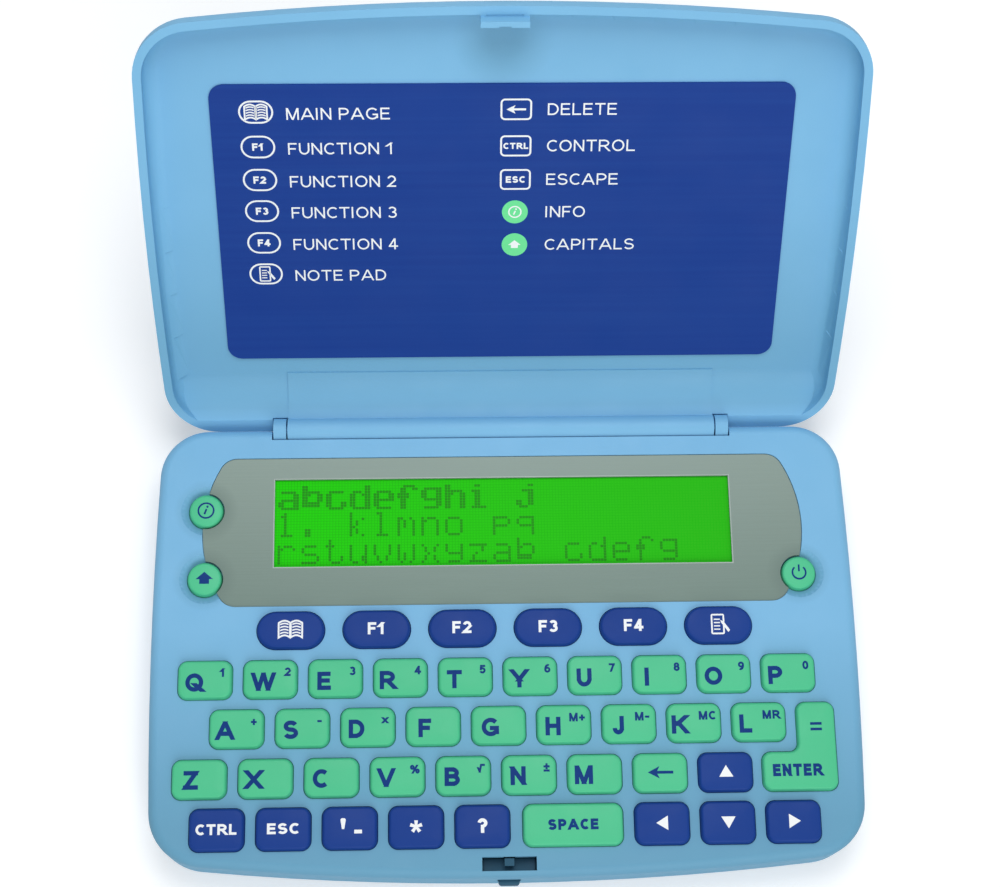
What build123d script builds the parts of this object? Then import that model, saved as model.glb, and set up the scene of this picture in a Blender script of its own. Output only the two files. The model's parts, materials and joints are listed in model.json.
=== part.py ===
from build123d import *

import math
import os

# Pocket electronic dictionary with a hinged lid, standing open on a table.
# Millimetres. The origin is the middle of the flat underside, +X to the right, +Y to the
# rear, +Z up. Distances called "forward" are measured from the rear edge of the base.

os.makedirs("parts", exist_ok=True)

# ---------------------------------------------------------------- walls and fits
WALL = 1.6  # side walls of all three mouldings
SKIN = 1.8  # top of the upper case
FLOOR = 1.8  # floor of the lower case
LID_SKIN = 1.8
MOVING_GAP = 0.3  # between pieces that move past each other
SLIDE_GAP = 0.2  # beside the latch slider and the battery door
KEY_GAP = 0.25  # around each key in its opening
PLAY = 0.1  # between pieces that are only trapped

# ---------------------------------------------------------------- keyboard
KEY_PITCH = 12.4
KEY_WIDTH = 10.1
KEY_DEPTH = 7.2
KEY_CORNER = 1.7
KEY_PROUD = 1.3  # above the deck
KEY_EDGE = 0.55  # rounding of the cap's rim
KEY_TRAVEL = 0.85
FLANGE_RIM = 0.7  # how far the flange reaches under the deck
FLANGE_THICKNESS = 0.8
PRESSED_GAP = 0.35  # flange above the mat with the key pressed home
PILL_INSET = 1.6  # contact pill inside the cap's outline
PILL_CLEARANCE = 0.4
ROW_PITCH = 9.45
BOTTOM_ROW_DEPTH = 7.7
SPACE_WIDTH = 18.6
PLACES = {  # first key of each run of equal keys, in key pitches from the middle
    "q": -4.63,
    "a": -4.13,
    "z": -4.68,
    "ctrl": -4.4,
    "space": 0.97,
    "left": 2.32,
    "enter": 4.466,
}
ENTER_FOOT = 4.0  # foot of the corner key, wider than a letter key by this much
ENTER_ARM = 7.1
FUNCTION_PITCH = 16.5
FUNCTION_WIDTH = 12.8
FUNCTION_DEPTH = 7.1
ROUND_KEY_RADIUS = 3.25
ROUND_KEY_PROUD = 0.4
INFO_FORWARD = 16.8
SHIFT_FORWARD = 30.5
POWER_FORWARD = 30.6
ROUND_INSET_LEFT = 10.1  # middle of the round keys to the side of the case
ROUND_INSET_RIGHT = 10.6
PLATE_TO_ROUND_KEY = 0.35  # silver plate to the side of a round key
DISH_RADIUS = 4.9
DISH_DEPTH = 1.0
SIDE_MARGIN = 7.35  # ten keys at the pitch to the side of the case
FRONT_MARGIN = 9.55  # centre of the bottom row to the front edge

# ---------------------------------------------------------------- display
PLATE_FORWARD = 6.2  # rear edge of the silver plate
PLATE_DEPTH = 29.8
PLATE_INSET_REAR = 14.0  # plate to the side of the case, at its rear, middle and front
PLATE_INSET_MIDDLE = 9.5
PLATE_INSET_FRONT = 14.2
PLATE_CORNER = 3.6
PLATE_THICKNESS = 0.5
PLATE_SINK = 0.25
VIEW_WIDTH = 89.5
VIEW_DEPTH = 17.7
VIEW_FORWARD = 10.5  # rear edge of the viewing window
GLASS_MARGIN = 0.85  # display glass beyond the viewing window
GLASS_DROP = 0.15  # glass below the plate
MODULE_MARGIN = 2.4  # display module beyond its glass
PLATE_TO_FUNCTION_ROW = 4.9
FUNCTION_TO_LETTERS = 9.5

# ---------------------------------------------------------------- inside
BOARD_THICKNESS = 1.6
MAT_THICKNESS = 0.8
CELL_RADIUS = 10.0  # CR2032 coin cell
CELL_HEIGHT = 3.2
CELL_SPACING = 22.2
CELL_SHIFT = 4.0  # cells forward of the door's middle
BAY_ROOF = 0.8
CONTACT_SPACE = 0.4
CONTACT_THICKNESS = 0.25
CONTACT_FIT = 0.05  # leaf above the cell
CLIP_WIDTH = 4.0
TAB_WIDTH = 2.0
LEAF_LENGTH = 12.0
CELL_STEP = 1.2  # rim of the cell beyond its cap
CELL_STEP_HEIGHT = 0.4
CHIP_RADIUS = 5.0
CHIP_EDGE = 0.6
QUARTZ_LENGTH = 8.0
QUARTZ_WIDTH = 3.0
CAPACITOR_LENGTH = 3.0
CAPACITOR_WIDTH = 2.0
CAPACITOR_PITCH = 7.4
PART_SPACING = 24.8  # from the chip to the parts beside it
PART_HEIGHT = 1.0  # parts on the board's underside
MAT_REAR = 12.0  # rear edge of the key mat
BOARD_CLEARANCE = 0.3
FULL_PRESS_GAP = 0.1  # contact pill above the board with the key pressed home

# ---------------------------------------------------------------- case
REAR_NARROWING = 1.2  # the sides bow out: half width lost at the rear corners
FRONT_NARROWING = 0.9
FRONT_SAG = 4.0  # the front edge bows out in the middle
REAR_CORNER = 9.5
FRONT_CORNER = 10.5
TOP_EDGE = 1.9
BOTTOM_EDGE = 3.0
SEAM_DROP = 0.4  # seam of the two case halves below the board
LIP_THICKNESS = 0.7
LIP_HEIGHT = 1.1

# ---------------------------------------------------------------- lid and hinge
OPEN_ANGLE = 127.8
LID_GAP = 0.2  # rim above the deck when shut
LID_CAVITY = 4.8
LID_INSET = 1.1  # lid narrower than the base on each side
LID_OVERHANG = 0.4  # lid longer than the base at the front
LID_TAIL = 1.15  # lid behind the hinge axis, so that the open lid meets the base's rear edge
LID_REAR_CORNER = 10.4
LID_FRONT_CORNER = 11.0
LID_EDGE = 5.2
COVE = 3.0
PANEL_STEP = 0.35  # raised panel at the hinge, above the hollow's floor
LID_DISH_DEPTH = 0.35  # shallow round scoop in the hollow's floor at the catch
LID_DISH_RADIUS = 6.1
LID_DISH_TO_CATCH = 4.35
RAMP_LENGTH = 8.2  # the hollow shelves up to the hinge over this length
PIVOT_DROP = 1.4  # hinge axis below the deck
BARREL_RADIUS = 2.4
BARREL_HALF = 42.4
WEB_OVERLAP = 0.5  # how far the barrel's web reaches into the lid's edge
KNUCKLE_WIDTH = 2.5
TROUGH_WALL = 1.2
PIN_RADIUS = 1.0
PIN_LENGTH = 2.2
PIN_FIT = 0.05
CARD_WIDTH = 107.6
CARD_HEIGHT = 58.6
CARD_FROM_HINGE = 13.3
CARD_CORNER = 2.8
CARD_THICKNESS = 0.4

# ---------------------------------------------------------------- latch
CATCH_WIDTH = 8.7
CATCH_THICKNESS = 1.1
CATCH_FROM_FRONT = 2.15  # middle of the catch to the front edge of the base
CATCH_PROUD = 2.4  # below the rim when shut
CATCH_LEAD_IN = 0.25
CATCH_ROOT = 0.35  # catch sunk into the lid's skin
SLOT_REAR_ROOM = 1.2
SLOT_SIDE_ROOM = 0.75
HOOK_THICKNESS = 0.7
HOOK_WIDTH = 1.8
NOSE_REACH = 0.7
NOSE_HEIGHT = 0.9
NOSE_DROP = 0.55  # top of the hook below the deck
NOSE_FIT = 0.15
LATCH_TRAVEL = 0.9
BUTTON_WIDTH = 4.0
BUTTON_HEIGHT = 2.6
BUTTON_PROUD = 1.0
BUTTON_ABOVE_SEAM = 0.5
BUTTON_ROUND = 0.7
STRUT_WIDTH = 1.0
STRUT_ROOT = 0.1  # struts sunk into the cove
SLIDER_WIDTH = 11.2
SLIDER_THICKNESS = 1.7
SLIDER_BEHIND_HOOK = 1.05
SLIDER_TO_WALL = 0.4
RAIL_LENGTH = 2.6
LATCH_RIB_SPACING = 5.6
LATCH_RIB_LENGTH = 3.0
RIB_THICKNESS = 1.0

# ---------------------------------------------------------------- battery door
DOOR_WIDTH = 50.0
DOOR_LENGTH = 38.0
DOOR_TONGUE = 0.8
DOOR_LEDGE = 0.9  # height of the ledge under the tongues
DOOR_RISE = 0.3  # underside of the door above the table
GRIP_COUNT = 5
GRIP_FORWARD = 26.6
GRIP_LENGTH = 16.6
GRIP_WIDTH = 0.8
GRIP_PITCH = 1.6
GRIP_DEPTH = 0.4

# ---------------------------------------------------------------- screws
SCREW_RADIUS = 0.9
SCREW_LENGTH = 7.0
HEAD_RADIUS = 1.9
HEAD_HEIGHT = 1.5
HEAD_DEPTH = 2.4
DRIVE_REACH = 1.1  # cross recess in the head
DRIVE_WIDTH = 0.5
DRIVE_DEPTH = 0.8
POST_WALL = 1.1
PILOT_FIT = 0.03  # screw shank in the post's hole
REAR_SCREW_INSET = 11.2  # screws to the side of the case
MIDDLE_SCREW_INSET = 14.2
FRONT_SCREW_INSET = 5.6
REAR_SCREW_FORWARD = 8.5
MIDDLE_SCREW_BEYOND = 0.6  # forward of the function row's middle
FRONT_SCREW_TO_FRONT = 11.4

# ---------------------------------------------------------------- sizes worked out
BASE_WIDTH = 9 * KEY_PITCH + KEY_WIDTH + 2 * SIDE_MARGIN
FUNCTION_ROW = PLATE_FORWARD + PLATE_DEPTH + PLATE_TO_FUNCTION_ROW
ROW_1 = FUNCTION_ROW + FUNCTION_TO_LETTERS
ROW_2 = ROW_1 + ROW_PITCH
ROW_3 = ROW_2 + ROW_PITCH
ROW_4 = ROW_3 + ROW_PITCH
BASE_DEPTH = ROW_4 + FRONT_MARGIN
REAR_Y = BASE_DEPTH / 2

BAY_CEILING = FLOOR + PLAY + CELL_HEIGHT + CONTACT_SPACE
BOARD_UNDER = BAY_CEILING + BAY_ROOF + BOARD_CLEARANCE
BOARD_TOP = BOARD_UNDER + BOARD_THICKNESS
MAT_TOP = BOARD_TOP + MAT_THICKNESS
PILL_UNDER = BOARD_TOP + KEY_TRAVEL + FULL_PRESS_GAP
FLANGE_UNDER = MAT_TOP + KEY_TRAVEL + PRESSED_GAP
FLANGE_TOP = FLANGE_UNDER + FLANGE_THICKNESS
SKIN_UNDER = FLANGE_TOP + SLIDE_GAP
DECK = SKIN_UNDER + SKIN
SEAM = BOARD_UNDER - SEAM_DROP

HINGE_Z = DECK - PIVOT_DROP
RIM = PIVOT_DROP + LID_GAP
LID_FLOOR = RIM + LID_CAVITY
LID_OUTSIDE = LID_FLOOR + LID_SKIN
LID_LENGTH = BASE_DEPTH + LID_OVERHANG
NOTCH_RADIUS = BARREL_RADIUS + MOVING_GAP
KNUCKLE_START = BARREL_HALF + MOVING_GAP
KNUCKLE_END = KNUCKLE_START + KNUCKLE_WIDTH
NOTCH_HALF = KNUCKLE_END + MOVING_GAP

PLATE_TOP = DECK - PLATE_SINK
PLATE_UNDER = PLATE_TOP - PLATE_THICKNESS
PLATE_HALF_REAR = BASE_WIDTH / 2 - PLATE_INSET_REAR
PLATE_HALF_MIDDLE = BASE_WIDTH / 2 - PLATE_INSET_MIDDLE
PLATE_HALF_FRONT = BASE_WIDTH / 2 - PLATE_INSET_FRONT
VIEW_CENTRE = VIEW_FORWARD + VIEW_DEPTH / 2

CATCH_CENTRE = BASE_DEPTH - CATCH_FROM_FRONT
CATCH_REAR = CATCH_CENTRE - CATCH_THICKNESS / 2
CATCH_FRONT = CATCH_CENTRE + CATCH_THICKNESS / 2
SLOT_REAR = CATCH_REAR - SLOT_REAR_ROOM
SLOT_FRONT = CATCH_FRONT + MOVING_GAP
HOOK_FRONT = CATCH_REAR - KEY_GAP
HOOK_REAR = HOOK_FRONT - HOOK_THICKNESS
NOSE_TOP = DECK - NOSE_DROP
NOSE_UNDER = NOSE_TOP - NOSE_HEIGHT
SLIDER_TOP = FLANGE_UNDER - KEY_TRAVEL - KEY_GAP
SLIDER_UNDER = SLIDER_TOP - SLIDER_THICKNESS
SLIDER_REAR = HOOK_REAR - SLIDER_BEHIND_HOOK
SLIDER_FRONT = BASE_DEPTH - WALL - SLIDER_TO_WALL
LATCH_ROOM = SLIDER_REAR - LATCH_TRAVEL - MOVING_GAP
BUTTON_MIDDLE = SEAM + BUTTON_ABOVE_SEAM + SLIDE_GAP + BUTTON_HEIGHT / 2

CELL_FORWARD = DOOR_LENGTH / 2 + CELL_SHIFT
POST_RADIUS = SCREW_RADIUS + POST_WALL
HINGE_POINT = Vector(0, REAR_Y, HINGE_Z)
BOTH_SIDES = (-1, 1)
CUT_OVER = 1.0  # how far a cut runs past the face it opens


# ---------------------------------------------------------------- planes
def deck(height):
    """Level plane of the base, facing down: local x to the right, local y forward."""
    return Plane(origin=(0, REAR_Y, height), x_dir=(1, 0, 0), z_dir=(0, 0, -1))


def lid_outward():
    """Direction out of the lid's back, straight up when the lid is shut."""
    swing = math.radians(OPEN_ANGLE)
    return Vector(0, math.sin(swing), math.cos(swing))


def leaf(height):
    """Plane of the open lid, as high above the hinge axis as in the shut lid, facing inward."""
    return Plane(origin=HINGE_POINT + lid_outward() * height, x_dir=(1, 0, 0), z_dir=-lid_outward())


def across(opening, start=0.0):
    """Plane across the hinge axis at x = start: local x away from the hinge, local y outward."""
    swing = math.radians(opening)
    away = (0, -math.cos(swing), math.sin(swing))
    return Plane(origin=HINGE_POINT + Vector(start, 0, 0), x_dir=away, z_dir=(-1, 0, 0))


# ---------------------------------------------------------------- outlines
def case_outline(plane, width, length, rear_corner, front_corner, inset=0.0):
    """Outline of the base or lid: a straight rear edge, bowed sides and a bowed front."""
    middle = width / 2
    rear = middle - REAR_NARROWING
    front = middle - FRONT_NARROWING
    shoulder = length - FRONT_SAG
    with BuildSketch(plane) as outline:
        with BuildLine():
            Line((-rear, 0), (rear, 0))
            ThreePointArc((rear, 0), (middle, length / 2), (front, shoulder))
            ThreePointArc((front, shoulder), (0, length), (-front, shoulder))
            ThreePointArc((-front, shoulder), (-middle, length / 2), (-rear, 0))
        make_face()
        fillet(outline.vertices().group_by(Axis.Y)[0], rear_corner)
        fillet(outline.vertices().group_by(Axis.Y)[-1], front_corner)
        if inset:
            offset(amount=-inset)
    return outline.sketch


def base_outline(plane, inset=0.0):
    """Outline of the base."""
    return case_outline(plane, BASE_WIDTH, BASE_DEPTH, REAR_CORNER, FRONT_CORNER, inset)


def lid_outline(plane, inset=0.0):
    """Outline of the lid, a little inside the base at the sides, from its tail to its free edge."""
    width = BASE_WIDTH - 2 * LID_INSET
    length = LID_LENGTH + LID_TAIL
    rear_edge = plane.shift_origin(plane.from_local_coords((0, -LID_TAIL, 0)))
    return case_outline(rear_edge, width, length, LID_REAR_CORNER, LID_FRONT_CORNER, inset)


def plate_outline(plane, grow=0.0):
    """Outline of the display plate, whose sides bulge."""
    rear = PLATE_FORWARD
    front = PLATE_FORWARD + PLATE_DEPTH
    with BuildSketch(plane) as outline:
        with BuildLine():
            Line((-PLATE_HALF_REAR, rear), (PLATE_HALF_REAR, rear))
            ThreePointArc(
                (PLATE_HALF_REAR, rear), (PLATE_HALF_MIDDLE, (rear + front) / 2), (PLATE_HALF_FRONT, front)
            )
            Line((PLATE_HALF_FRONT, front), (-PLATE_HALF_FRONT, front))
            ThreePointArc(
                (-PLATE_HALF_FRONT, front), (-PLATE_HALF_MIDDLE, (rear + front) / 2), (-PLATE_HALF_REAR, rear)
            )
        make_face()
        fillet(outline.vertices(), PLATE_CORNER)
        if grow:
            offset(amount=grow)
    return outline.sketch


# ---------------------------------------------------------------- keys
def key_row(names, forward, width=KEY_WIDTH, depth=KEY_DEPTH):
    """A run of equal keys at the keyboard's pitch: name, shape, x, forward, width and depth."""
    start = PLACES[names[0]]
    return [(name, "block", (start + i) * KEY_PITCH, forward, width, depth) for i, name in enumerate(names)]


ROUND_SIZE = 2 * ROUND_KEY_RADIUS
LEFT_X = ROUND_INSET_LEFT - BASE_WIDTH / 2
RIGHT_X = BASE_WIDTH / 2 - ROUND_INSET_RIGHT
FUNCTION_NAMES = ("book", "f1", "f2", "f3", "f4", "notes")
LAST_FUNCTION = len(FUNCTION_NAMES) - 1
KEYS = [
    ("info", "round", LEFT_X, INFO_FORWARD, ROUND_SIZE, ROUND_SIZE),
    ("shift", "round", LEFT_X, SHIFT_FORWARD, ROUND_SIZE, ROUND_SIZE),
    ("power", "round", RIGHT_X, POWER_FORWARD, ROUND_SIZE, ROUND_SIZE),
    *[
        (name, "pill", (i - LAST_FUNCTION / 2) * FUNCTION_PITCH, FUNCTION_ROW, FUNCTION_WIDTH, FUNCTION_DEPTH)
        for i, name in enumerate(FUNCTION_NAMES)
    ],
    *key_row("qwertyuiop", ROW_1),
    *key_row("asdfghjkl", ROW_2),
    *key_row(("z", "x", "c", "v", "b", "n", "m", "back", "up"), ROW_3),
    *key_row(("ctrl", "esc", "quote", "star", "query"), ROW_4, depth=BOTTOM_ROW_DEPTH),
    *key_row(("space",), ROW_4, SPACE_WIDTH, BOTTOM_ROW_DEPTH),
    *key_row(("left", "down", "right"), ROW_4, depth=BOTTOM_ROW_DEPTH),
    ("enter", "corner", PLACES["enter"] * KEY_PITCH, ROW_3, KEY_WIDTH + ENTER_FOOT, KEY_DEPTH),
]


def key_outline(plane, key, grow=0.0):
    """Outline of one key cap on a plane, grown by a margin on every side."""
    name, shape, x, forward, width, depth = key
    with BuildSketch(plane) as outline:
        with Locations((x, forward)):
            if shape == "round":
                Circle(width / 2)
            elif shape == "pill":
                SlotOverall(width, depth)
            else:
                Rectangle(width, depth)
        if shape == "corner":
            with Locations((x + (width - ENTER_ARM) / 2, forward - ROW_PITCH / 2)):
                Rectangle(ENTER_ARM, depth + ROW_PITCH)
        if shape in ("block", "corner"):
            fillet(outline.vertices(), KEY_CORNER)
        if grow:
            offset(amount=grow)
    return outline.sketch


def pill_outline(plane, key, grow=0.0):
    """Outline of the contact pill under one key."""
    name, shape, x, forward, width, depth = key
    with BuildSketch(plane) as outline:
        with Locations((x, forward)):
            if shape == "round":
                Circle(width / 2 - PILL_INSET + grow)
            else:
                Rectangle(width - 2 * (PILL_INSET - grow), depth - 2 * (PILL_INSET - grow))
    return outline.sketch


def all_keys(plane, outline, grow):
    """The outlines of all the keys, or of their pills, together on one plane."""
    with BuildSketch(plane) as together:
        for key in KEYS:
            add(outline(Plane.XY, key, grow))
    return together.sketch


def finish(piece, name):
    """Label a finished piece and write its file."""
    piece.part.label = name
    export_step(piece.part, "parts/" + name + ".step")


for key in KEYS:
    proud = ROUND_KEY_PROUD if key[1] == "round" else KEY_PROUD
    with BuildPart() as key_piece:
        extrude(key_outline(deck(DECK + proud), key), amount=DECK + proud - FLANGE_TOP)
        fillet(key_piece.edges().group_by(Axis.Z)[-1], KEY_EDGE)
        extrude(key_outline(deck(FLANGE_TOP), key, FLANGE_RIM), amount=FLANGE_THICKNESS)
        extrude(pill_outline(deck(FLANGE_UNDER), key), amount=FLANGE_UNDER - PILL_UNDER)
    finish(key_piece, "key_" + key[0])

# ---------------------------------------------------------------- base: outer form
with BuildPart() as base_form:
    extrude(base_outline(deck(DECK)), amount=DECK)
    fillet(base_form.edges().group_by(Axis.Z)[-1], TOP_EDGE)
    fillet(base_form.edges().group_by(Axis.Z)[0], BOTTOM_EDGE)

SCREW_PLACES = (
    (REAR_SCREW_INSET, REAR_SCREW_FORWARD),
    (MIDDLE_SCREW_INSET, FUNCTION_ROW + MIDDLE_SCREW_BEYOND),
    (FRONT_SCREW_INSET, BASE_DEPTH - FRONT_SCREW_TO_FRONT),
)
SCREWS = [
    (side * (BASE_WIDTH / 2 - inset), forward) for inset, forward in SCREW_PLACES for side in BOTH_SIDES
]
ROUND_KEYS = [key for key in KEYS if key[1] == "round"]

with BuildPart() as dishes:
    with Locations(*[(key[2], REAR_Y - key[3], DECK) for key in ROUND_KEYS]):
        Cone(
            bottom_radius=ROUND_KEY_RADIUS + KEY_GAP,
            top_radius=DISH_RADIUS,
            height=DISH_DEPTH,
            align=(Align.CENTER, Align.CENTER, Align.MAX),
        )

# ---------------------------------------------------------------- upper case
with BuildPart() as top_case:
    add(base_form.part)
    split(bisect_by=Plane.XY.offset(SEAM), keep=Keep.TOP)
    extrude(base_outline(deck(SKIN_UNDER), WALL), amount=SKIN_UNDER, mode=Mode.SUBTRACT)
    # trough around the hinge barrel
    with BuildSketch(across(0, -NOTCH_HALF - TROUGH_WALL)):
        Circle(NOTCH_RADIUS + TROUGH_WALL)
    extrude(amount=2 * (NOTCH_HALF + TROUGH_WALL), dir=(1, 0, 0))
    # posts for the screws
    with BuildSketch(deck(SKIN_UNDER)):
        with Locations(*SCREWS):
            Circle(POST_RADIUS)
    extrude(amount=SKIN_UNDER - BOARD_UNDER)
    # guide rails beside the latch slider
    with BuildSketch(deck(SKIN_UNDER)):
        for side in BOTH_SIDES:
            with Locations((side * (SLIDER_WIDTH / 2 + SLIDE_GAP + RIB_THICKNESS / 2), BASE_DEPTH - WALL)):
                Rectangle(RIB_THICKNESS, RAIL_LENGTH, align=(Align.CENTER, Align.MAX))
    extrude(amount=SKIN_UNDER - SLIDER_UNDER)
    add(base_form.part, mode=Mode.INTERSECT)
    with BuildSketch(deck(SKIN_UNDER)):
        with Locations(*SCREWS):
            Circle(SCREW_RADIUS + PILOT_FIT)
    extrude(amount=SKIN_UNDER, mode=Mode.SUBTRACT)
    # notch for the barrel, with the two knuckles standing in its ends
    with BuildSketch(across(0, -NOTCH_HALF)):
        Circle(NOTCH_RADIUS)
    extrude(amount=2 * NOTCH_HALF, dir=(1, 0, 0), mode=Mode.SUBTRACT)
    for side in BOTH_SIDES:
        with BuildSketch(across(0, side * KNUCKLE_START)):
            Circle(BARREL_RADIUS)
            with Locations((0, -BARREL_RADIUS / 2)):
                Rectangle(NOTCH_RADIUS + WEB_OVERLAP, BARREL_RADIUS, align=(Align.MIN, Align.MAX))
            Circle(PIN_RADIUS + PIN_FIT, mode=Mode.SUBTRACT)
        extrude(amount=KNUCKLE_WIDTH, dir=(side, 0, 0))
    # recess and window for the display
    extrude(plate_outline(deck(DECK), PLAY), amount=PLATE_SINK + PLATE_THICKNESS, mode=Mode.SUBTRACT)
    with BuildSketch(deck(DECK)):
        with Locations((0, VIEW_CENTRE)):
            Rectangle(
                VIEW_WIDTH + 2 * (GLASS_MARGIN + MOVING_GAP), VIEW_DEPTH + 2 * (GLASS_MARGIN + MOVING_GAP)
            )
    extrude(amount=DECK - SKIN_UNDER, mode=Mode.SUBTRACT)
    # key openings
    extrude(all_keys(deck(DECK), key_outline, KEY_GAP), amount=SKIN, mode=Mode.SUBTRACT)
    add(dishes.part, mode=Mode.SUBTRACT)
    # catch slot, room for the hook behind it, and the button's opening in the front wall
    with BuildSketch(deck(DECK)):
        with Locations((0, (SLOT_REAR + SLOT_FRONT) / 2)):
            Rectangle(CATCH_WIDTH + 2 * SLOT_SIDE_ROOM, SLOT_FRONT - SLOT_REAR)
    extrude(amount=DECK - SEAM, mode=Mode.SUBTRACT)
    with BuildSketch(deck(NOSE_TOP + SLIDE_GAP)):
        with Locations((0, SLOT_REAR)):
            Rectangle(HOOK_WIDTH + 2 * SLIDE_GAP, LATCH_TRAVEL + SLIDE_GAP, align=(Align.CENTER, Align.MAX))
    extrude(amount=NOSE_TOP + SLIDE_GAP - SKIN_UNDER, mode=Mode.SUBTRACT)
    with BuildSketch(Plane.XZ.offset(REAR_Y - WALL - CUT_OVER)):
        with Locations((0, BUTTON_MIDDLE)):
            Rectangle(BUTTON_WIDTH + 2 * SLIDE_GAP, BUTTON_HEIGHT + 2 * SLIDE_GAP)
    extrude(amount=WALL + 2 * CUT_OVER, mode=Mode.SUBTRACT)
finish(top_case, "top_case")

# ---------------------------------------------------------------- lower case
CELLS = [(side * CELL_SPACING / 2, CELL_FORWARD) for side in BOTH_SIDES]
RING_INNER = CELL_RADIUS + MOVING_GAP
TONGUE_HALF = DOOR_WIDTH / 2 + DOOR_TONGUE
LIP_INNER = WALL + PLAY + LIP_THICKNESS
CLIP_FORWARD = CELL_FORWARD + CELL_RADIUS + PLAY
TABS = [(x, forward) for x, _ in CELLS for forward in (CELL_FORWARD, CLIP_FORWARD + CONTACT_THICKNESS / 2)]
LATCH_RIBS = [(side * LATCH_RIB_SPACING / 2, BASE_DEPTH - WALL) for side in BOTH_SIDES]

with BuildPart() as bottom_case:
    add(base_form.part)
    split(bisect_by=Plane.XY.offset(SEAM), keep=Keep.BOTTOM)
    extrude(base_outline(deck(SEAM), WALL), amount=SEAM - FLOOR, mode=Mode.SUBTRACT)
    # lip that locates the upper case, rooted in the wall below the seam
    extrude(base_outline(deck(SEAM + LIP_HEIGHT), WALL + PLAY), amount=LIP_HEIGHT)
    extrude(base_outline(deck(SEAM), WALL - PLAY), amount=LIP_HEIGHT)
    extrude(
        base_outline(deck(SEAM + LIP_HEIGHT), LIP_INNER), amount=SEAM + LIP_HEIGHT - FLOOR, mode=Mode.SUBTRACT
    )
    # the lip is cut away at the latch and at the screw posts of the upper case
    with BuildSketch(deck(SEAM + LIP_HEIGHT)):
        with Locations((0, BASE_DEPTH)):
            Rectangle(SLIDER_WIDTH + 4 * RIB_THICKNESS, 4 * WALL, align=(Align.CENTER, Align.MAX))
        with Locations(*SCREWS):
            Circle(POST_RADIUS + SLIDE_GAP)
    extrude(amount=LIP_HEIGHT, mode=Mode.SUBTRACT)
    # screw bosses that carry the board
    with BuildSketch(deck(SEAM)):
        with Locations(*SCREWS):
            Circle(HEAD_RADIUS + POST_WALL)
    extrude(amount=SEAM)
    with BuildSketch(deck(BOARD_UNDER - PLAY)):
        with Locations(*SCREWS):
            Circle(POST_RADIUS - SLIDE_GAP)
    extrude(amount=SEAM)
    # battery bay: roof and walls, then a ring around each cell
    with BuildSketch(deck(BAY_CEILING + BAY_ROOF)):
        with Locations((0, WALL)):
            Rectangle(
                2 * (TONGUE_HALF + PLAY + RIB_THICKNESS),
                DOOR_LENGTH - WALL + RIB_THICKNESS,
                align=(Align.CENTER, Align.MIN),
            )
    extrude(amount=BAY_CEILING + BAY_ROOF - FLOOR)
    with BuildSketch(deck(BAY_CEILING)):
        with Locations((0, WALL)):
            Rectangle(2 * (TONGUE_HALF + PLAY), DOOR_LENGTH - WALL, align=(Align.CENTER, Align.MIN))
    extrude(amount=BAY_CEILING - FLOOR, mode=Mode.SUBTRACT)
    with BuildSketch(deck(BAY_CEILING)):
        with Locations(*CELLS):
            Circle(RING_INNER + RIB_THICKNESS)
        with Locations(*CELLS):
            Circle(RING_INNER, mode=Mode.SUBTRACT)
            with Locations((0, RING_INNER)):
                Rectangle(CLIP_WIDTH + 2 * MOVING_GAP, 4 * RIB_THICKNESS, mode=Mode.SUBTRACT)
    extrude(amount=BAY_CEILING - FLOOR - SLIDE_GAP)
    with BuildSketch(deck(BAY_CEILING + BAY_ROOF)):
        with Locations(*TABS):
            Rectangle(TAB_WIDTH + 2 * SLIDE_GAP, CONTACT_THICKNESS + 2 * SLIDE_GAP)
    extrude(amount=BAY_ROOF, mode=Mode.SUBTRACT)
    # ribs under the latch slider
    with BuildSketch(deck(SLIDER_UNDER - SLIDE_GAP)):
        with Locations(*LATCH_RIBS):
            Rectangle(RIB_THICKNESS, LATCH_RIB_LENGTH, align=(Align.CENTER, Align.MAX))
    extrude(amount=SLIDER_UNDER - SLIDE_GAP - FLOOR)
    add(base_form.part, mode=Mode.INTERSECT)
    # screw holes with their head recesses
    with BuildSketch(deck(BOARD_UNDER)):
        with Locations(*SCREWS):
            Circle(SCREW_RADIUS + SLIDE_GAP)
    extrude(amount=BOARD_UNDER, mode=Mode.SUBTRACT)
    with BuildSketch(deck(HEAD_DEPTH)):
        with Locations(*SCREWS):
            Circle(HEAD_RADIUS + SLIDE_GAP)
    extrude(amount=HEAD_DEPTH, mode=Mode.SUBTRACT)
    # door opening, open at the rear edge, wider above for the door's tongues
    with BuildSketch(deck(FLOOR)):
        Rectangle(2 * (TONGUE_HALF + PLAY), DOOR_LENGTH, align=(Align.CENTER, Align.MIN))
    extrude(amount=FLOOR - DOOR_LEDGE, mode=Mode.SUBTRACT)
    with BuildSketch(deck(FLOOR)):
        Rectangle(DOOR_WIDTH + 2 * SLIDE_GAP, DOOR_LENGTH, align=(Align.CENTER, Align.MIN))
    extrude(amount=FLOOR, mode=Mode.SUBTRACT)
finish(bottom_case, "bottom_case")

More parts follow.
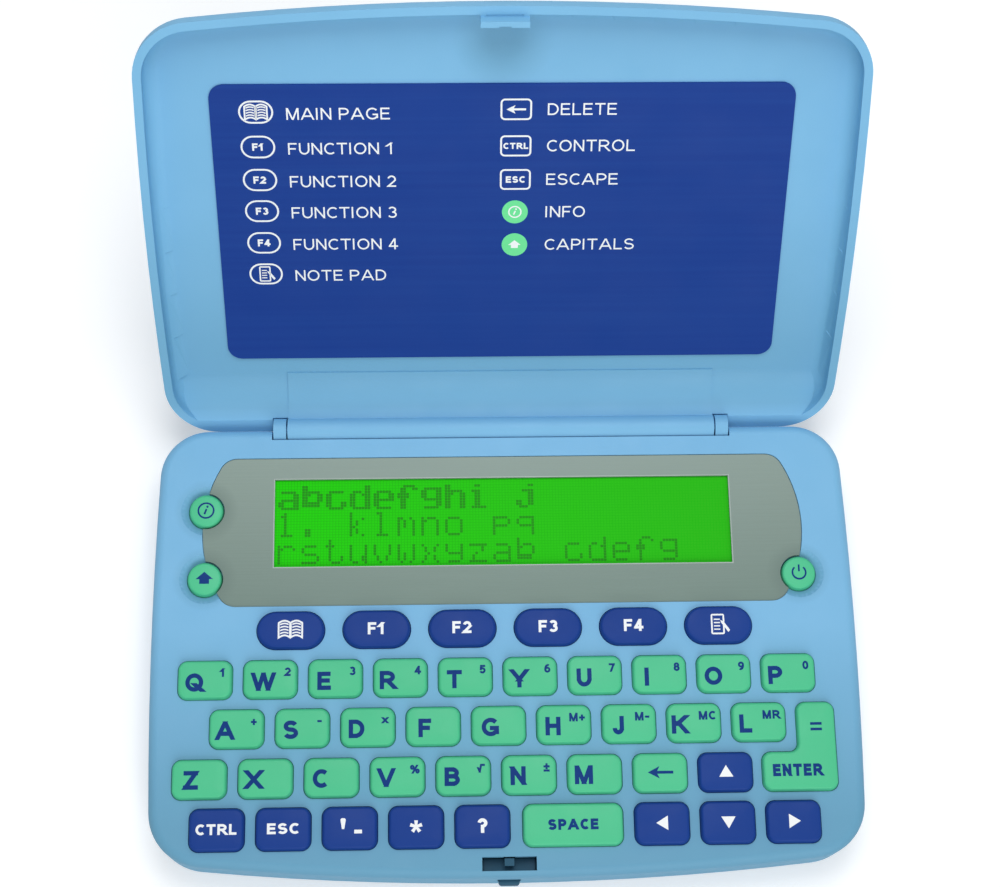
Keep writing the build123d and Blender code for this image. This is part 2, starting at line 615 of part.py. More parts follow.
# ---------------------------------------------------------------- battery door, cells and contacts
DOOR_CUT = DOOR_LENGTH - SLIDE_GAP
with BuildPart() as battery_door:
    with BuildSketch(deck(FLOOR - PLAY)):
        Rectangle(2 * TONGUE_HALF, DOOR_CUT, align=(Align.CENTER, Align.MIN))
    extrude(amount=FLOOR - PLAY - DOOR_LEDGE - PLAY)
    with BuildSketch(deck(FLOOR - PLAY)):
        Rectangle(DOOR_WIDTH, DOOR_CUT, align=(Align.CENTER, Align.MIN))
    extrude(amount=FLOOR - PLAY - DOOR_RISE)
    add(base_form.part, mode=Mode.INTERSECT)
    with BuildSketch(deck(DOOR_RISE + GRIP_DEPTH)):
        with Locations((0, GRIP_FORWARD)):
            with GridLocations(0, GRIP_PITCH, 1, GRIP_COUNT):
                SlotOverall(GRIP_LENGTH, GRIP_WIDTH)
    extrude(amount=GRIP_DEPTH, mode=Mode.SUBTRACT)
finish(battery_door, "battery_door")

CELL_UNDER = FLOOR + PLAY
CELL_TOP = CELL_UNDER + CELL_HEIGHT
with BuildPart() as battery_cells:
    with BuildSketch(deck(CELL_TOP)):
        with Locations(*CELLS):
            Circle(CELL_RADIUS - CELL_STEP)
    extrude(amount=CELL_HEIGHT)
    with BuildSketch(deck(CELL_TOP - CELL_STEP_HEIGHT)):
        with Locations(*CELLS):
            Circle(CELL_RADIUS)
    extrude(amount=CELL_HEIGHT - CELL_STEP_HEIGHT)
    chamfer(battery_cells.edges().group_by(Axis.Z)[0], CELL_STEP_HEIGHT)
finish(battery_cells, "battery_cells")

with BuildPart() as battery_contacts:
    # a leaf on top of each cell and a clip at its side, each with a tab up to the board
    with BuildSketch(deck(CELL_TOP + CONTACT_FIT + CONTACT_THICKNESS)):
        with Locations(*CELLS):
            SlotOverall(LEAF_LENGTH, CLIP_WIDTH, rotation=90)
    extrude(amount=CONTACT_THICKNESS)
    with BuildSketch(deck(CELL_TOP)):
        with Locations(*[(x, CLIP_FORWARD) for x, _ in CELLS]):
            Rectangle(CLIP_WIDTH, CONTACT_THICKNESS, align=(Align.CENTER, Align.MIN))
    extrude(amount=CELL_HEIGHT)
    with BuildSketch(deck(BOARD_UNDER)):
        with Locations(*TABS):
            Rectangle(TAB_WIDTH, CONTACT_THICKNESS)
    extrude(amount=BOARD_UNDER - CELL_TOP - 2 * CONTACT_FIT)
finish(battery_contacts, "battery_contacts")

# ---------------------------------------------------------------- screws
with BuildPart() as case_screws:
    with BuildSketch(deck(HEAD_DEPTH)):
        with Locations(*SCREWS):
            Circle(HEAD_RADIUS)
    extrude(amount=HEAD_HEIGHT)
    with BuildSketch(deck(HEAD_DEPTH - HEAD_HEIGHT + DRIVE_DEPTH)):
        with Locations(*SCREWS):
            Rectangle(2 * DRIVE_REACH, DRIVE_WIDTH)
            Rectangle(DRIVE_WIDTH, 2 * DRIVE_REACH)
    extrude(amount=DRIVE_DEPTH, mode=Mode.SUBTRACT)
    with BuildSketch(deck(HEAD_DEPTH + SCREW_LENGTH)):
        with Locations(*SCREWS):
            Circle(SCREW_RADIUS)
    extrude(amount=SCREW_LENGTH)
finish(case_screws, "case_screws")

# ---------------------------------------------------------------- circuit board and key mat
GLASS = (VIEW_WIDTH + 2 * GLASS_MARGIN, VIEW_DEPTH + 2 * GLASS_MARGIN)
MODULE = (GLASS[0] + 2 * MODULE_MARGIN, GLASS[1] + 2 * MODULE_MARGIN)
TROUGH_END = NOTCH_RADIUS + TROUGH_WALL + MOVING_GAP
LATCH_WIDTH = SLIDER_WIDTH + 2 * (SLIDE_GAP + RIB_THICKNESS + MOVING_GAP)

with BuildPart() as circuit_board:
    extrude(base_outline(deck(BOARD_TOP), LIP_INNER + MOVING_GAP), amount=BOARD_THICKNESS)
    with BuildSketch(deck(BOARD_TOP)):
        with Locations(*SCREWS):
            Circle(POST_RADIUS + SLIDE_GAP)
        Rectangle(BASE_WIDTH, 2 * TROUGH_END)
        with Locations((0, BASE_DEPTH)):
            Rectangle(LATCH_WIDTH, 2 * (BASE_DEPTH - LATCH_ROOM))
    extrude(amount=BOARD_THICKNESS, mode=Mode.SUBTRACT)
    # the chip under its resin, a quartz can and two capacitors, all on the underside
    with BuildSketch(deck(BOARD_UNDER)):
        with Locations((0, ROW_2)):
            Circle(CHIP_RADIUS)
    extrude(amount=PART_HEIGHT)
    fillet(circuit_board.edges().group_by(Axis.Z)[0], CHIP_EDGE)
    with BuildSketch(deck(BOARD_UNDER)):
        with Locations((-PART_SPACING, ROW_2)):
            SlotOverall(QUARTZ_LENGTH, QUARTZ_WIDTH)
        with Locations((PART_SPACING, ROW_2), (PART_SPACING + CAPACITOR_PITCH, ROW_2)):
            Rectangle(CAPACITOR_LENGTH, CAPACITOR_WIDTH)
    extrude(amount=PART_HEIGHT)
finish(circuit_board, "circuit_board")

with BuildPart() as keypad_mat:
    extrude(base_outline(deck(MAT_TOP), LIP_INNER + 2 * MOVING_GAP), amount=MAT_THICKNESS)
    with BuildSketch(deck(MAT_TOP)):
        with Locations(*SCREWS):
            Circle(POST_RADIUS + SLIDE_GAP)
        Rectangle(BASE_WIDTH, 2 * MAT_REAR)
        with Locations((0, VIEW_CENTRE + MODULE[1] / 2 + MOVING_GAP)):
            Rectangle(MODULE[0] + 2 * MOVING_GAP, MODULE[1] + MAT_REAR, align=(Align.CENTER, Align.MAX))
        with Locations((0, BASE_DEPTH)):
            Rectangle(LATCH_WIDTH, 2 * (BASE_DEPTH - LATCH_ROOM))
    extrude(amount=MAT_THICKNESS, mode=Mode.SUBTRACT)
    extrude(all_keys(deck(MAT_TOP), pill_outline, PILL_CLEARANCE), amount=MAT_THICKNESS, mode=Mode.SUBTRACT)
finish(keypad_mat, "keypad_mat")

# ---------------------------------------------------------------- display
with BuildPart() as lcd_panel:
    with BuildSketch(deck(PLATE_UNDER - GLASS_DROP)):
        with Locations((0, VIEW_CENTRE)):
            Rectangle(*GLASS)
    extrude(amount=PLATE_UNDER - GLASS_DROP - BOARD_TOP)
    with BuildSketch(deck(SKIN_UNDER - PLAY)):
        with Locations((0, VIEW_CENTRE)):
            Rectangle(*MODULE)
    extrude(amount=SKIN_UNDER - PLAY - BOARD_TOP)
finish(lcd_panel, "lcd_panel")

with BuildPart() as display_plate:
    extrude(plate_outline(deck(PLATE_TOP)), amount=PLATE_THICKNESS)
    with BuildSketch(deck(PLATE_TOP)):
        with Locations((0, VIEW_CENTRE)):
            Rectangle(VIEW_WIDTH, VIEW_DEPTH)
    extrude(amount=PLATE_THICKNESS, mode=Mode.SUBTRACT)
    with BuildSketch(deck(PLATE_TOP)):
        with Locations(*[key[2:4] for key in ROUND_KEYS]):
            Circle(ROUND_KEY_RADIUS + PLATE_TO_ROUND_KEY)
    extrude(amount=PLATE_THICKNESS, mode=Mode.SUBTRACT)
finish(display_plate, "display_plate")

# ---------------------------------------------------------------- latch button
with BuildPart() as latch_button:
    with BuildSketch(Plane.XZ.offset(REAR_Y + BUTTON_PROUD)):
        with Locations((0, BUTTON_MIDDLE)):
            Rectangle(BUTTON_WIDTH, BUTTON_HEIGHT)
    extrude(amount=-(BASE_DEPTH + BUTTON_PROUD - HOOK_REAR))
    fillet(latch_button.edges().group_by(Axis.Y)[0], BUTTON_ROUND)
    with BuildSketch(deck(SLIDER_TOP)):
        with Locations((0, SLIDER_REAR)):
            Rectangle(SLIDER_WIDTH, SLIDER_FRONT - SLIDER_REAR, align=(Align.CENTER, Align.MIN))
    extrude(amount=SLIDER_THICKNESS)
    with BuildSketch(deck(NOSE_TOP)):
        with Locations((0, HOOK_REAR)):
            Rectangle(HOOK_WIDTH, HOOK_THICKNESS, align=(Align.CENTER, Align.MIN))
    extrude(amount=NOSE_TOP - SLIDER_UNDER)
    with BuildSketch(deck(NOSE_TOP)):
        with Locations((0, HOOK_REAR)):
            Rectangle(HOOK_WIDTH, HOOK_THICKNESS + NOSE_REACH, align=(Align.CENTER, Align.MIN))
    extrude(amount=NOSE_HEIGHT)
finish(latch_button, "latch_button")

# ---------------------------------------------------------------- lid
OUTWARD = Axis(HINGE_POINT, lid_outward())
COVE_RADIUS = (RAMP_LENGTH**2 + LID_CAVITY**2) / (2 * LID_CAVITY)
COVE_START = math.atan2(COVE_RADIUS - LID_CAVITY, RAMP_LENGTH)


def cove_point(share, shift=0.0):
    """Point of the arc by which the hollow shelves up from its floor to the hinge side of the rim."""
    turn = COVE_START + share * (math.pi / 2 - COVE_START)
    away = WALL + RAMP_LENGTH - COVE_RADIUS * math.cos(turn)
    height = LID_FLOOR - COVE_RADIUS + COVE_RADIUS * math.sin(turn)
    return (away, height - shift)


SCOOP_SPHERE = (LID_DISH_RADIUS**2 + LID_DISH_DEPTH**2) / (2 * LID_DISH_DEPTH)
with BuildPart() as lid_scoop:
    with Locations(leaf(LID_FLOOR + LID_DISH_DEPTH - SCOOP_SPHERE)):
        with Locations((0, CATCH_REAR - LID_DISH_TO_CATCH)):
            Sphere(SCOOP_SPHERE)
    split(bisect_by=leaf(LID_FLOOR), keep=Keep.BOTTOM)
    # the scoop's rim runs on through the cove, so that no thin lip is left over it
    with BuildSketch(leaf(LID_FLOOR)):
        with Locations((0, CATCH_REAR - LID_DISH_TO_CATCH)):
            Circle(LID_DISH_RADIUS)
    extrude(amount=COVE / 2)
    with BuildSketch(leaf(LID_FLOOR + 2 * LID_DISH_DEPTH)):
        with Locations((0, CATCH_CENTRE)):
            Rectangle(BASE_WIDTH, BASE_WIDTH, align=(Align.CENTER, Align.MIN))
    extrude(amount=COVE, mode=Mode.SUBTRACT)

with BuildPart() as lid_hollow:
    extrude(lid_outline(leaf(LID_FLOOR), WALL), amount=LID_CAVITY + CUT_OVER)
    fillet(lid_hollow.edges().group_by(OUTWARD)[-1], COVE)
    with BuildSketch(across(OPEN_ANGLE, -BASE_WIDTH)):
        with BuildLine():
            ThreePointArc(cove_point(0), cove_point(0.5), cove_point(1))
            Polyline(
                cove_point(1),
                (cove_point(1)[0], LID_OUTSIDE),
                (-WALL, LID_OUTSIDE),
                (-WALL, -WALL),
                (WALL, -WALL),
                cove_point(0),
            )
        make_face()
    extrude(amount=2 * BASE_WIDTH, dir=(1, 0, 0), mode=Mode.SUBTRACT)
    add(lid_scoop.part)

CATCH_TIP = RIM - CATCH_PROUD
# the struts end just inside the cove, well short of the lid's rounded outer edge
COVE_AT_CATCH = LID_FLOOR - COVE + math.sqrt(COVE**2 - (COVE - (LID_LENGTH - WALL - CATCH_FRONT)) ** 2)
STRUT_TOP = COVE_AT_CATCH + STRUT_ROOT
POCKET_DEEP = NOSE_TOP + NOSE_FIT - HINGE_Z
POCKET_SHALLOW = NOSE_UNDER - NOSE_FIT - HINGE_Z
with BuildPart() as lid_shell:
    extrude(lid_outline(leaf(LID_OUTSIDE)), amount=LID_OUTSIDE - RIM)
    fillet(lid_shell.edges().group_by(OUTWARD)[-1], LID_EDGE)
    add(lid_hollow.part, mode=Mode.SUBTRACT)
    # room for the knuckles, then the barrel with the raised panel that runs into the hollow's floor
    with BuildSketch(across(OPEN_ANGLE, -NOTCH_HALF)):
        Circle(NOTCH_RADIUS)
    extrude(amount=2 * NOTCH_HALF, dir=(1, 0, 0), mode=Mode.SUBTRACT)
    with BuildSketch(across(OPEN_ANGLE, -BARREL_HALF)):
        Circle(BARREL_RADIUS)
        Rectangle(WALL, NOTCH_RADIUS + WEB_OVERLAP, align=(Align.MIN, Align.MIN))
        with BuildLine():
            ThreePointArc(cove_point(0, PANEL_STEP), cove_point(0.5, PANEL_STEP), cove_point(1, PANEL_STEP))
            Polyline(
                cove_point(1, PANEL_STEP),
                cove_point(1, -WALL / 2),
                cove_point(0.5, -WALL / 2),
                (WALL / 2, RIM + WALL),
                (WALL / 2, RIM),
                cove_point(0, PANEL_STEP),
            )
        make_face()
    extrude(amount=2 * BARREL_HALF, dir=(1, 0, 0))
    with BuildSketch(across(OPEN_ANGLE, -BARREL_HALF - PIN_LENGTH)):
        Circle(PIN_RADIUS)
    extrude(amount=2 * (BARREL_HALF + PIN_LENGTH), dir=(1, 0, 0))
    # catch: a tab standing from the floor, tied to the far wall at both ends
    with BuildSketch(leaf(CATCH_TIP)):
        with Locations((0, CATCH_CENTRE)):
            Rectangle(CATCH_WIDTH, CATCH_THICKNESS)
    extrude(amount=-(LID_FLOOR + CATCH_ROOT - CATCH_TIP))
    with BuildSketch(leaf(RIM)):
        for side in BOTH_SIDES:
            with Locations((side * (CATCH_WIDTH - STRUT_WIDTH) / 2, CATCH_CENTRE)):
                Rectangle(STRUT_WIDTH, LID_LENGTH - WALL / 2 - CATCH_CENTRE, align=(Align.CENTER, Align.MIN))
    extrude(amount=-(STRUT_TOP - RIM))
    with BuildSketch(leaf(POCKET_SHALLOW)):
        with Locations((0, CATCH_REAR)):
            Rectangle(HOOK_WIDTH + 2 * SLIDE_GAP, NOSE_REACH, align=(Align.CENTER, Align.MIN))
    extrude(amount=POCKET_SHALLOW - POCKET_DEEP, mode=Mode.SUBTRACT)
    with BuildSketch(leaf(CATCH_TIP)):
        with Locations((0, CATCH_REAR)):
            Rectangle(HOOK_WIDTH + 2 * SLIDE_GAP, CATCH_LEAD_IN, align=(Align.CENTER, Align.MIN))
    extrude(amount=CATCH_TIP - POCKET_SHALLOW, mode=Mode.SUBTRACT)
finish(lid_shell, "lid_shell")

with BuildPart() as lid_legend_card:
    with BuildSketch(leaf(LID_FLOOR - CARD_THICKNESS)):
        with Locations((0, CARD_FROM_HINGE + CARD_HEIGHT / 2)):
            RectangleRounded(CARD_WIDTH, CARD_HEIGHT, CARD_CORNER)
    extrude(amount=-CARD_THICKNESS)
finish(lid_legend_card, "lid_legend_card")
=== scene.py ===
import json
import math

import bmesh
import bpy
import numpy as np
from mathutils import Matrix, Vector


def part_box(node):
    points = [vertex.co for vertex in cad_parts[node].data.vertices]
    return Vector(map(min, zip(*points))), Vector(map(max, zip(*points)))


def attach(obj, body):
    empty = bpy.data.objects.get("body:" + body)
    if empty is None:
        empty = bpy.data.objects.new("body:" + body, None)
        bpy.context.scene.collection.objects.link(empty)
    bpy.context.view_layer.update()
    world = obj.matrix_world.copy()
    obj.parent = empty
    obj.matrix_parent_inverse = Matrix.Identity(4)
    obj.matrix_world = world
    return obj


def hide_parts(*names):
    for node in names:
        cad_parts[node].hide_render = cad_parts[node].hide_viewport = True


# Looks of a pocket electronic dictionary, open on a pale floor.
# Sizes are millimetres until a mesh is made. The frame has its origin in the middle of the
# flat underside, +X to the right, +Y to the rear, +Z up. On the lid, "along" runs from the
# hinge to the free edge and "outward" from the hinge axis to the lid's back.

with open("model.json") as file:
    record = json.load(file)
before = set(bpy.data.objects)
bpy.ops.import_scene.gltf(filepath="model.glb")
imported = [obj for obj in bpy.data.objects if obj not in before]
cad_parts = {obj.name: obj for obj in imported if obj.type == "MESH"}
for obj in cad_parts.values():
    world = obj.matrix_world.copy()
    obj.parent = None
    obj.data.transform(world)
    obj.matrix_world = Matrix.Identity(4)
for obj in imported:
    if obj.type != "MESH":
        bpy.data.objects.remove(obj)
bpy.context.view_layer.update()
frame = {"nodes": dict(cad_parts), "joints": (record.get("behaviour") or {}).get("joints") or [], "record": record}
MM = 0.001

# ---------------- sizes shared with the parts
DECK = 13.0
DISH_DEPTH = 1.0  # the round keys stand in dishes
TOP_EDGE = 1.9  # radius of the base's rounded top edge
SLOT_SIDE = 8.3  # that edge is cut by the catch slot nearer the middle than this
KNUCKLE_SIDE = 45.48  # and at the rear by the hinge
OPEN_ANGLE = 127.8
FLANGE_RIM = 0.7  # a key's flange stands out from its cap
FLANGE_UNDER = 10.2
FLANGE_TOP = 11.0
PILL_INSET = 1.6  # contact pill within the cap's outline
KEY_CORNER = 1.7
KEY_EDGE = 0.55  # radius of a cap's rim
KEY_CROWN = 0.11  # rise of the cap from its rim to its flat middle
CROWN_REACH = 2.4  # inset over which the cap rises
SKIRT_FLARE = 0.16  # the cap is wider by this below the deck
KEY_DEPTH = 7.2
ENTER_ARM = 7.1  # width of the enter key's rear arm
LEAST_RADIUS = 0.02  # keeps the points of a sharp corner apart
SHARP_ANGLE = 35  # edges of the mouldings that turn by more stay crisp
CRISP_ANGLE = 32  # and of the pieces made here
DOT_WIDTH = 0.585  # pitch of the display's dots
DOT_DEPTH = 0.55

# ---------------- prints
PRINT_PROUD = 0.022
PRINT_SUNK = 0.05
LETTER_HEIGHT = 3.5
USUAL_SHIFT = -2.1  # of a letter from the key's middle
LETTER_SHIFT = dict(q=-1.6, w=-1.25, f=-1.6, g=-1.6, z=-1.5, i=-2.5, k=-2.5, l=-2.6, p=-2.6)
LETTER_DROP = {"qwertyuiop": -0.6, "asdfghjkl": -0.42, "zxcvbnm": -0.25}
SECOND_HEIGHT = 1.65
SECOND_SHIFT = (3.3, 1.25)
SECOND_WIDTH = 0.8  # a second sign moves left by this for each further letter
WORD_HEIGHT = 2.0
FUNCTION_HEIGHT = 2.35
ARROW_HEIGHT = 2.4
BOLD = 0.235  # stroke of bold letters, as a share of their height
REGULAR = 0.125
LETTER_GAP = 0.17  # between letters, as a share of their height
SPACE_GAP = 0.42
LIFT_STEP = 0.06  # strokes differ in height, so that no two faces lie in one plane
LIFT_COUNT = 12


def linear(red, green, blue):
    """Display values 0-255 as a shader's linear colour: ((c + 0.055) / 1.055) to the power 2.4."""
    share = np.array([red, green, blue]) / 255
    low = share / 12.92
    high = ((share + 0.055) / 1.055) ** 2.4
    return (*np.where(share <= 0.04045, low, high), 1.0)


# ---------------- places
REAR_Y = -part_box("bottom_case")[0].y / MM
HINGE_Z = next(joint for joint in frame["joints"] if joint["name"] == "lid_hinge")["pos_m"][2] / MM
SWING = math.radians(OPEN_ANGLE)
LID_ALONG = np.array([0, -math.cos(SWING), math.sin(SWING)])
LID_OUTWARD = np.array([0, math.sin(SWING), math.cos(SWING)])
HINGE = np.array([0, REAR_Y, HINGE_Z])
RIGHTWARD = (1, 0, 0)
REARWARD = (0, 1, 0)


def lid_place(x, along, outward):
    """Points of the open lid: hinge + x to the right + along the leaf + outward from it."""
    x, along, outward = np.broadcast_arrays(x, along, outward)
    side = np.array([1, 0, 0])
    return HINGE + x[..., None] * side + along[..., None] * LID_ALONG + outward[..., None] * LID_OUTWARD


# ---------------- meshes
def hang(name, mesh, body):
    """Put a mesh in the scene as a piece that rides on a body."""
    piece = bpy.data.objects.new(name, mesh)
    bpy.context.scene.collection.objects.link(piece)
    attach(piece, body)
    return piece


def add_piece(name, sign, body, slot, material=None):
    """Make a piece from (points, faces) in millimetres, in place, in its slot's finish."""
    points, faces = sign
    mesh = bpy.data.meshes.new(name)
    mesh.from_pydata((np.asarray(points) * MM).tolist(), [], [list(map(int, face)) for face in faces])
    mesh.validate()
    mesh.shade_smooth()
    mesh.set_sharp_from_angle(angle=math.radians(CRISP_ANGLE))
    mesh.materials.append(material or FINISHES[slot])
    return hang(name, mesh, body)


def merge(parts):
    """Join several (points, faces) pairs into one pair, shifting each part's face numbers."""
    start = 0
    points, faces = [], []
    for part_points, part_faces in parts:
        points.append(part_points)
        faces += [tuple(np.asarray(face) + start) for face in part_faces]
        start += len(part_points)
    return np.concatenate(points), faces


def at_height(plan, height):
    """Points of a plan at one height."""
    return np.column_stack([plan, np.full(len(plan), height)])


def stack(rings):
    """Closed surface through rings of equal count, from the first upward, with flat ends."""
    rings = np.asarray(rings)
    levels, count = rings.shape[:2]
    level = np.arange(levels - 1)[:, None] * count
    here = np.arange(count)[None, :]
    after = (here + 1) % count
    quads = np.stack([level + here, level + after, level + count + after, level + count + here], -1)
    faces = [tuple(quad) for quad in quads.reshape(-1, 4)]
    faces.append(tuple(range(count))[::-1])
    faces.append(tuple(range((levels - 1) * count, levels * count)))
    return rings.reshape(-1, 3), faces


def rounded(corners, radius, inset=0.0, steps=8):
    """Right-angled outline with each corner an arc, moved inward by the inset.

    A corner moves by the inset along both inner normals. Its arc is centre - turn * radius *
    (cos(t) * normal before + sin(t) * normal after), t from 0 to a quarter turn, where turn
    is +1 at an outer corner and -1 at an inner one.
    """
    corners = np.asarray(corners, float)
    edge = np.roll(corners, -1, axis=0) - corners
    edge /= np.linalg.norm(edge, axis=1)[:, None]
    after = np.stack([-edge[:, 1], edge[:, 0]], -1)
    before = np.roll(after, 1, axis=0)
    turn = np.sign(-np.sum(after * np.roll(edge, 1, axis=0), axis=1))
    radii = np.maximum(radius - turn * inset, LEAST_RADIUS)[:, None]
    centre = corners + (inset + turn[:, None] * radii) * (before + after)
    t = np.linspace(0, math.pi / 2, steps)[None, :, None]
    reach = (turn[:, None] * radii)[:, None, :]
    arc = centre[:, None, :] - reach * (np.cos(t) * before[:, None, :] + np.sin(t) * after[:, None, :])
    return arc.reshape(-1, 2)


def box_corners(half_width, half_depth, x=0.0, y=0.0):
    """Corners of a rectangle about (x, y), anticlockwise."""
    return np.array([(1, -1), (1, 1), (-1, 1), (-1, -1)]) * (half_width, half_depth) + (x, y)


# ---------------- flat signs
# A sign is a pair (points, faces) in its own plan: x to the right, y up, and z +1 on the
# printed face and -1 on the sunk one.
def prism(outline):
    """Closed prism on an outline, from z -1 to +1."""
    return stack([at_height(outline, -1), at_height(outline, 1)])


def strip(left, right, closed=False):
    """Line between two rows of points: a rectangle carried along them, in short steps."""
    levels = [(left, 1), (right, 1), (right, -1), (left, -1)]
    rings = np.stack([at_height(side, level) for side, level in levels], 1)
    count = len(left)
    step = np.arange(count if closed else count - 1)[:, None]
    following = (step + 1) % count
    here = np.arange(4)[None, :]
    after = (here + 1) % 4
    quads = np.stack([step * 4 + here, step * 4 + after, following * 4 + after, following * 4 + here], -1)
    faces = [tuple(quad) for quad in quads.reshape(-1, 4)]
    if not closed:
        faces.append((3, 2, 1, 0))
        faces.append(tuple(range(4 * count - 4, 4 * count)))
    return rings.reshape(-1, 3), faces


def band(path, width, closed=False):
    """Line of even width along a path: a rectangle carried along it, mitred at the bends."""
    path = np.asarray(path, float)
    ahead = np.roll(path, -1, axis=0) - path
    behind = path - np.roll(path, 1, axis=0)
    if not closed:
        ahead[-1] = behind[-1]
        behind[0] = ahead[0]
    ahead /= np.linalg.norm(ahead, axis=1)[:, None]
    behind /= np.linalg.norm(behind, axis=1)[:, None]
    left_ahead = np.stack([-ahead[:, 1], ahead[:, 0]], -1)
    left_behind = np.stack([-behind[:, 1], behind[:, 0]], -1)
    middle = left_ahead + left_behind
    middle /= np.sum(middle * left_ahead, axis=1)[:, None]
    return strip(path + width / 2 * middle, path - width / 2 * middle, closed)


def moved(sign, x=0.0, y=0.0, turn=0.0, size=1.0):
    """A sign scaled, turned anticlockwise and shifted in its plan."""
    points, faces = sign
    cos, sin = size * math.cos(turn), size * math.sin(turn)
    plan = points[:, :2] @ np.array([[cos, sin], [-sin, cos]]) + (x, y)
    return np.column_stack([plan, points[:, 2]]), faces


# Letters are strokes in a box one high: x and y from 0 to 1 are the middles of the outermost
# strokes. Each letter has its width and its strokes.
def bar(x_start, y_start, x_end, y_end):
    """Level or upright stroke, square at both ends."""
    return ("bar", x_start, y_start, x_end, y_end)


def slant(x_foot, y_foot, x_top, y_top):
    """Sloping stroke, cut level at its foot and top."""
    return ("slant", x_foot, y_foot, x_top, y_top)


def bow(x, y, x_radius, y_radius, start=0, end=360):
    """Stroke along an ellipse, between two angles in degrees."""
    return ("bow", x, y, x_radius, y_radius, start, end)


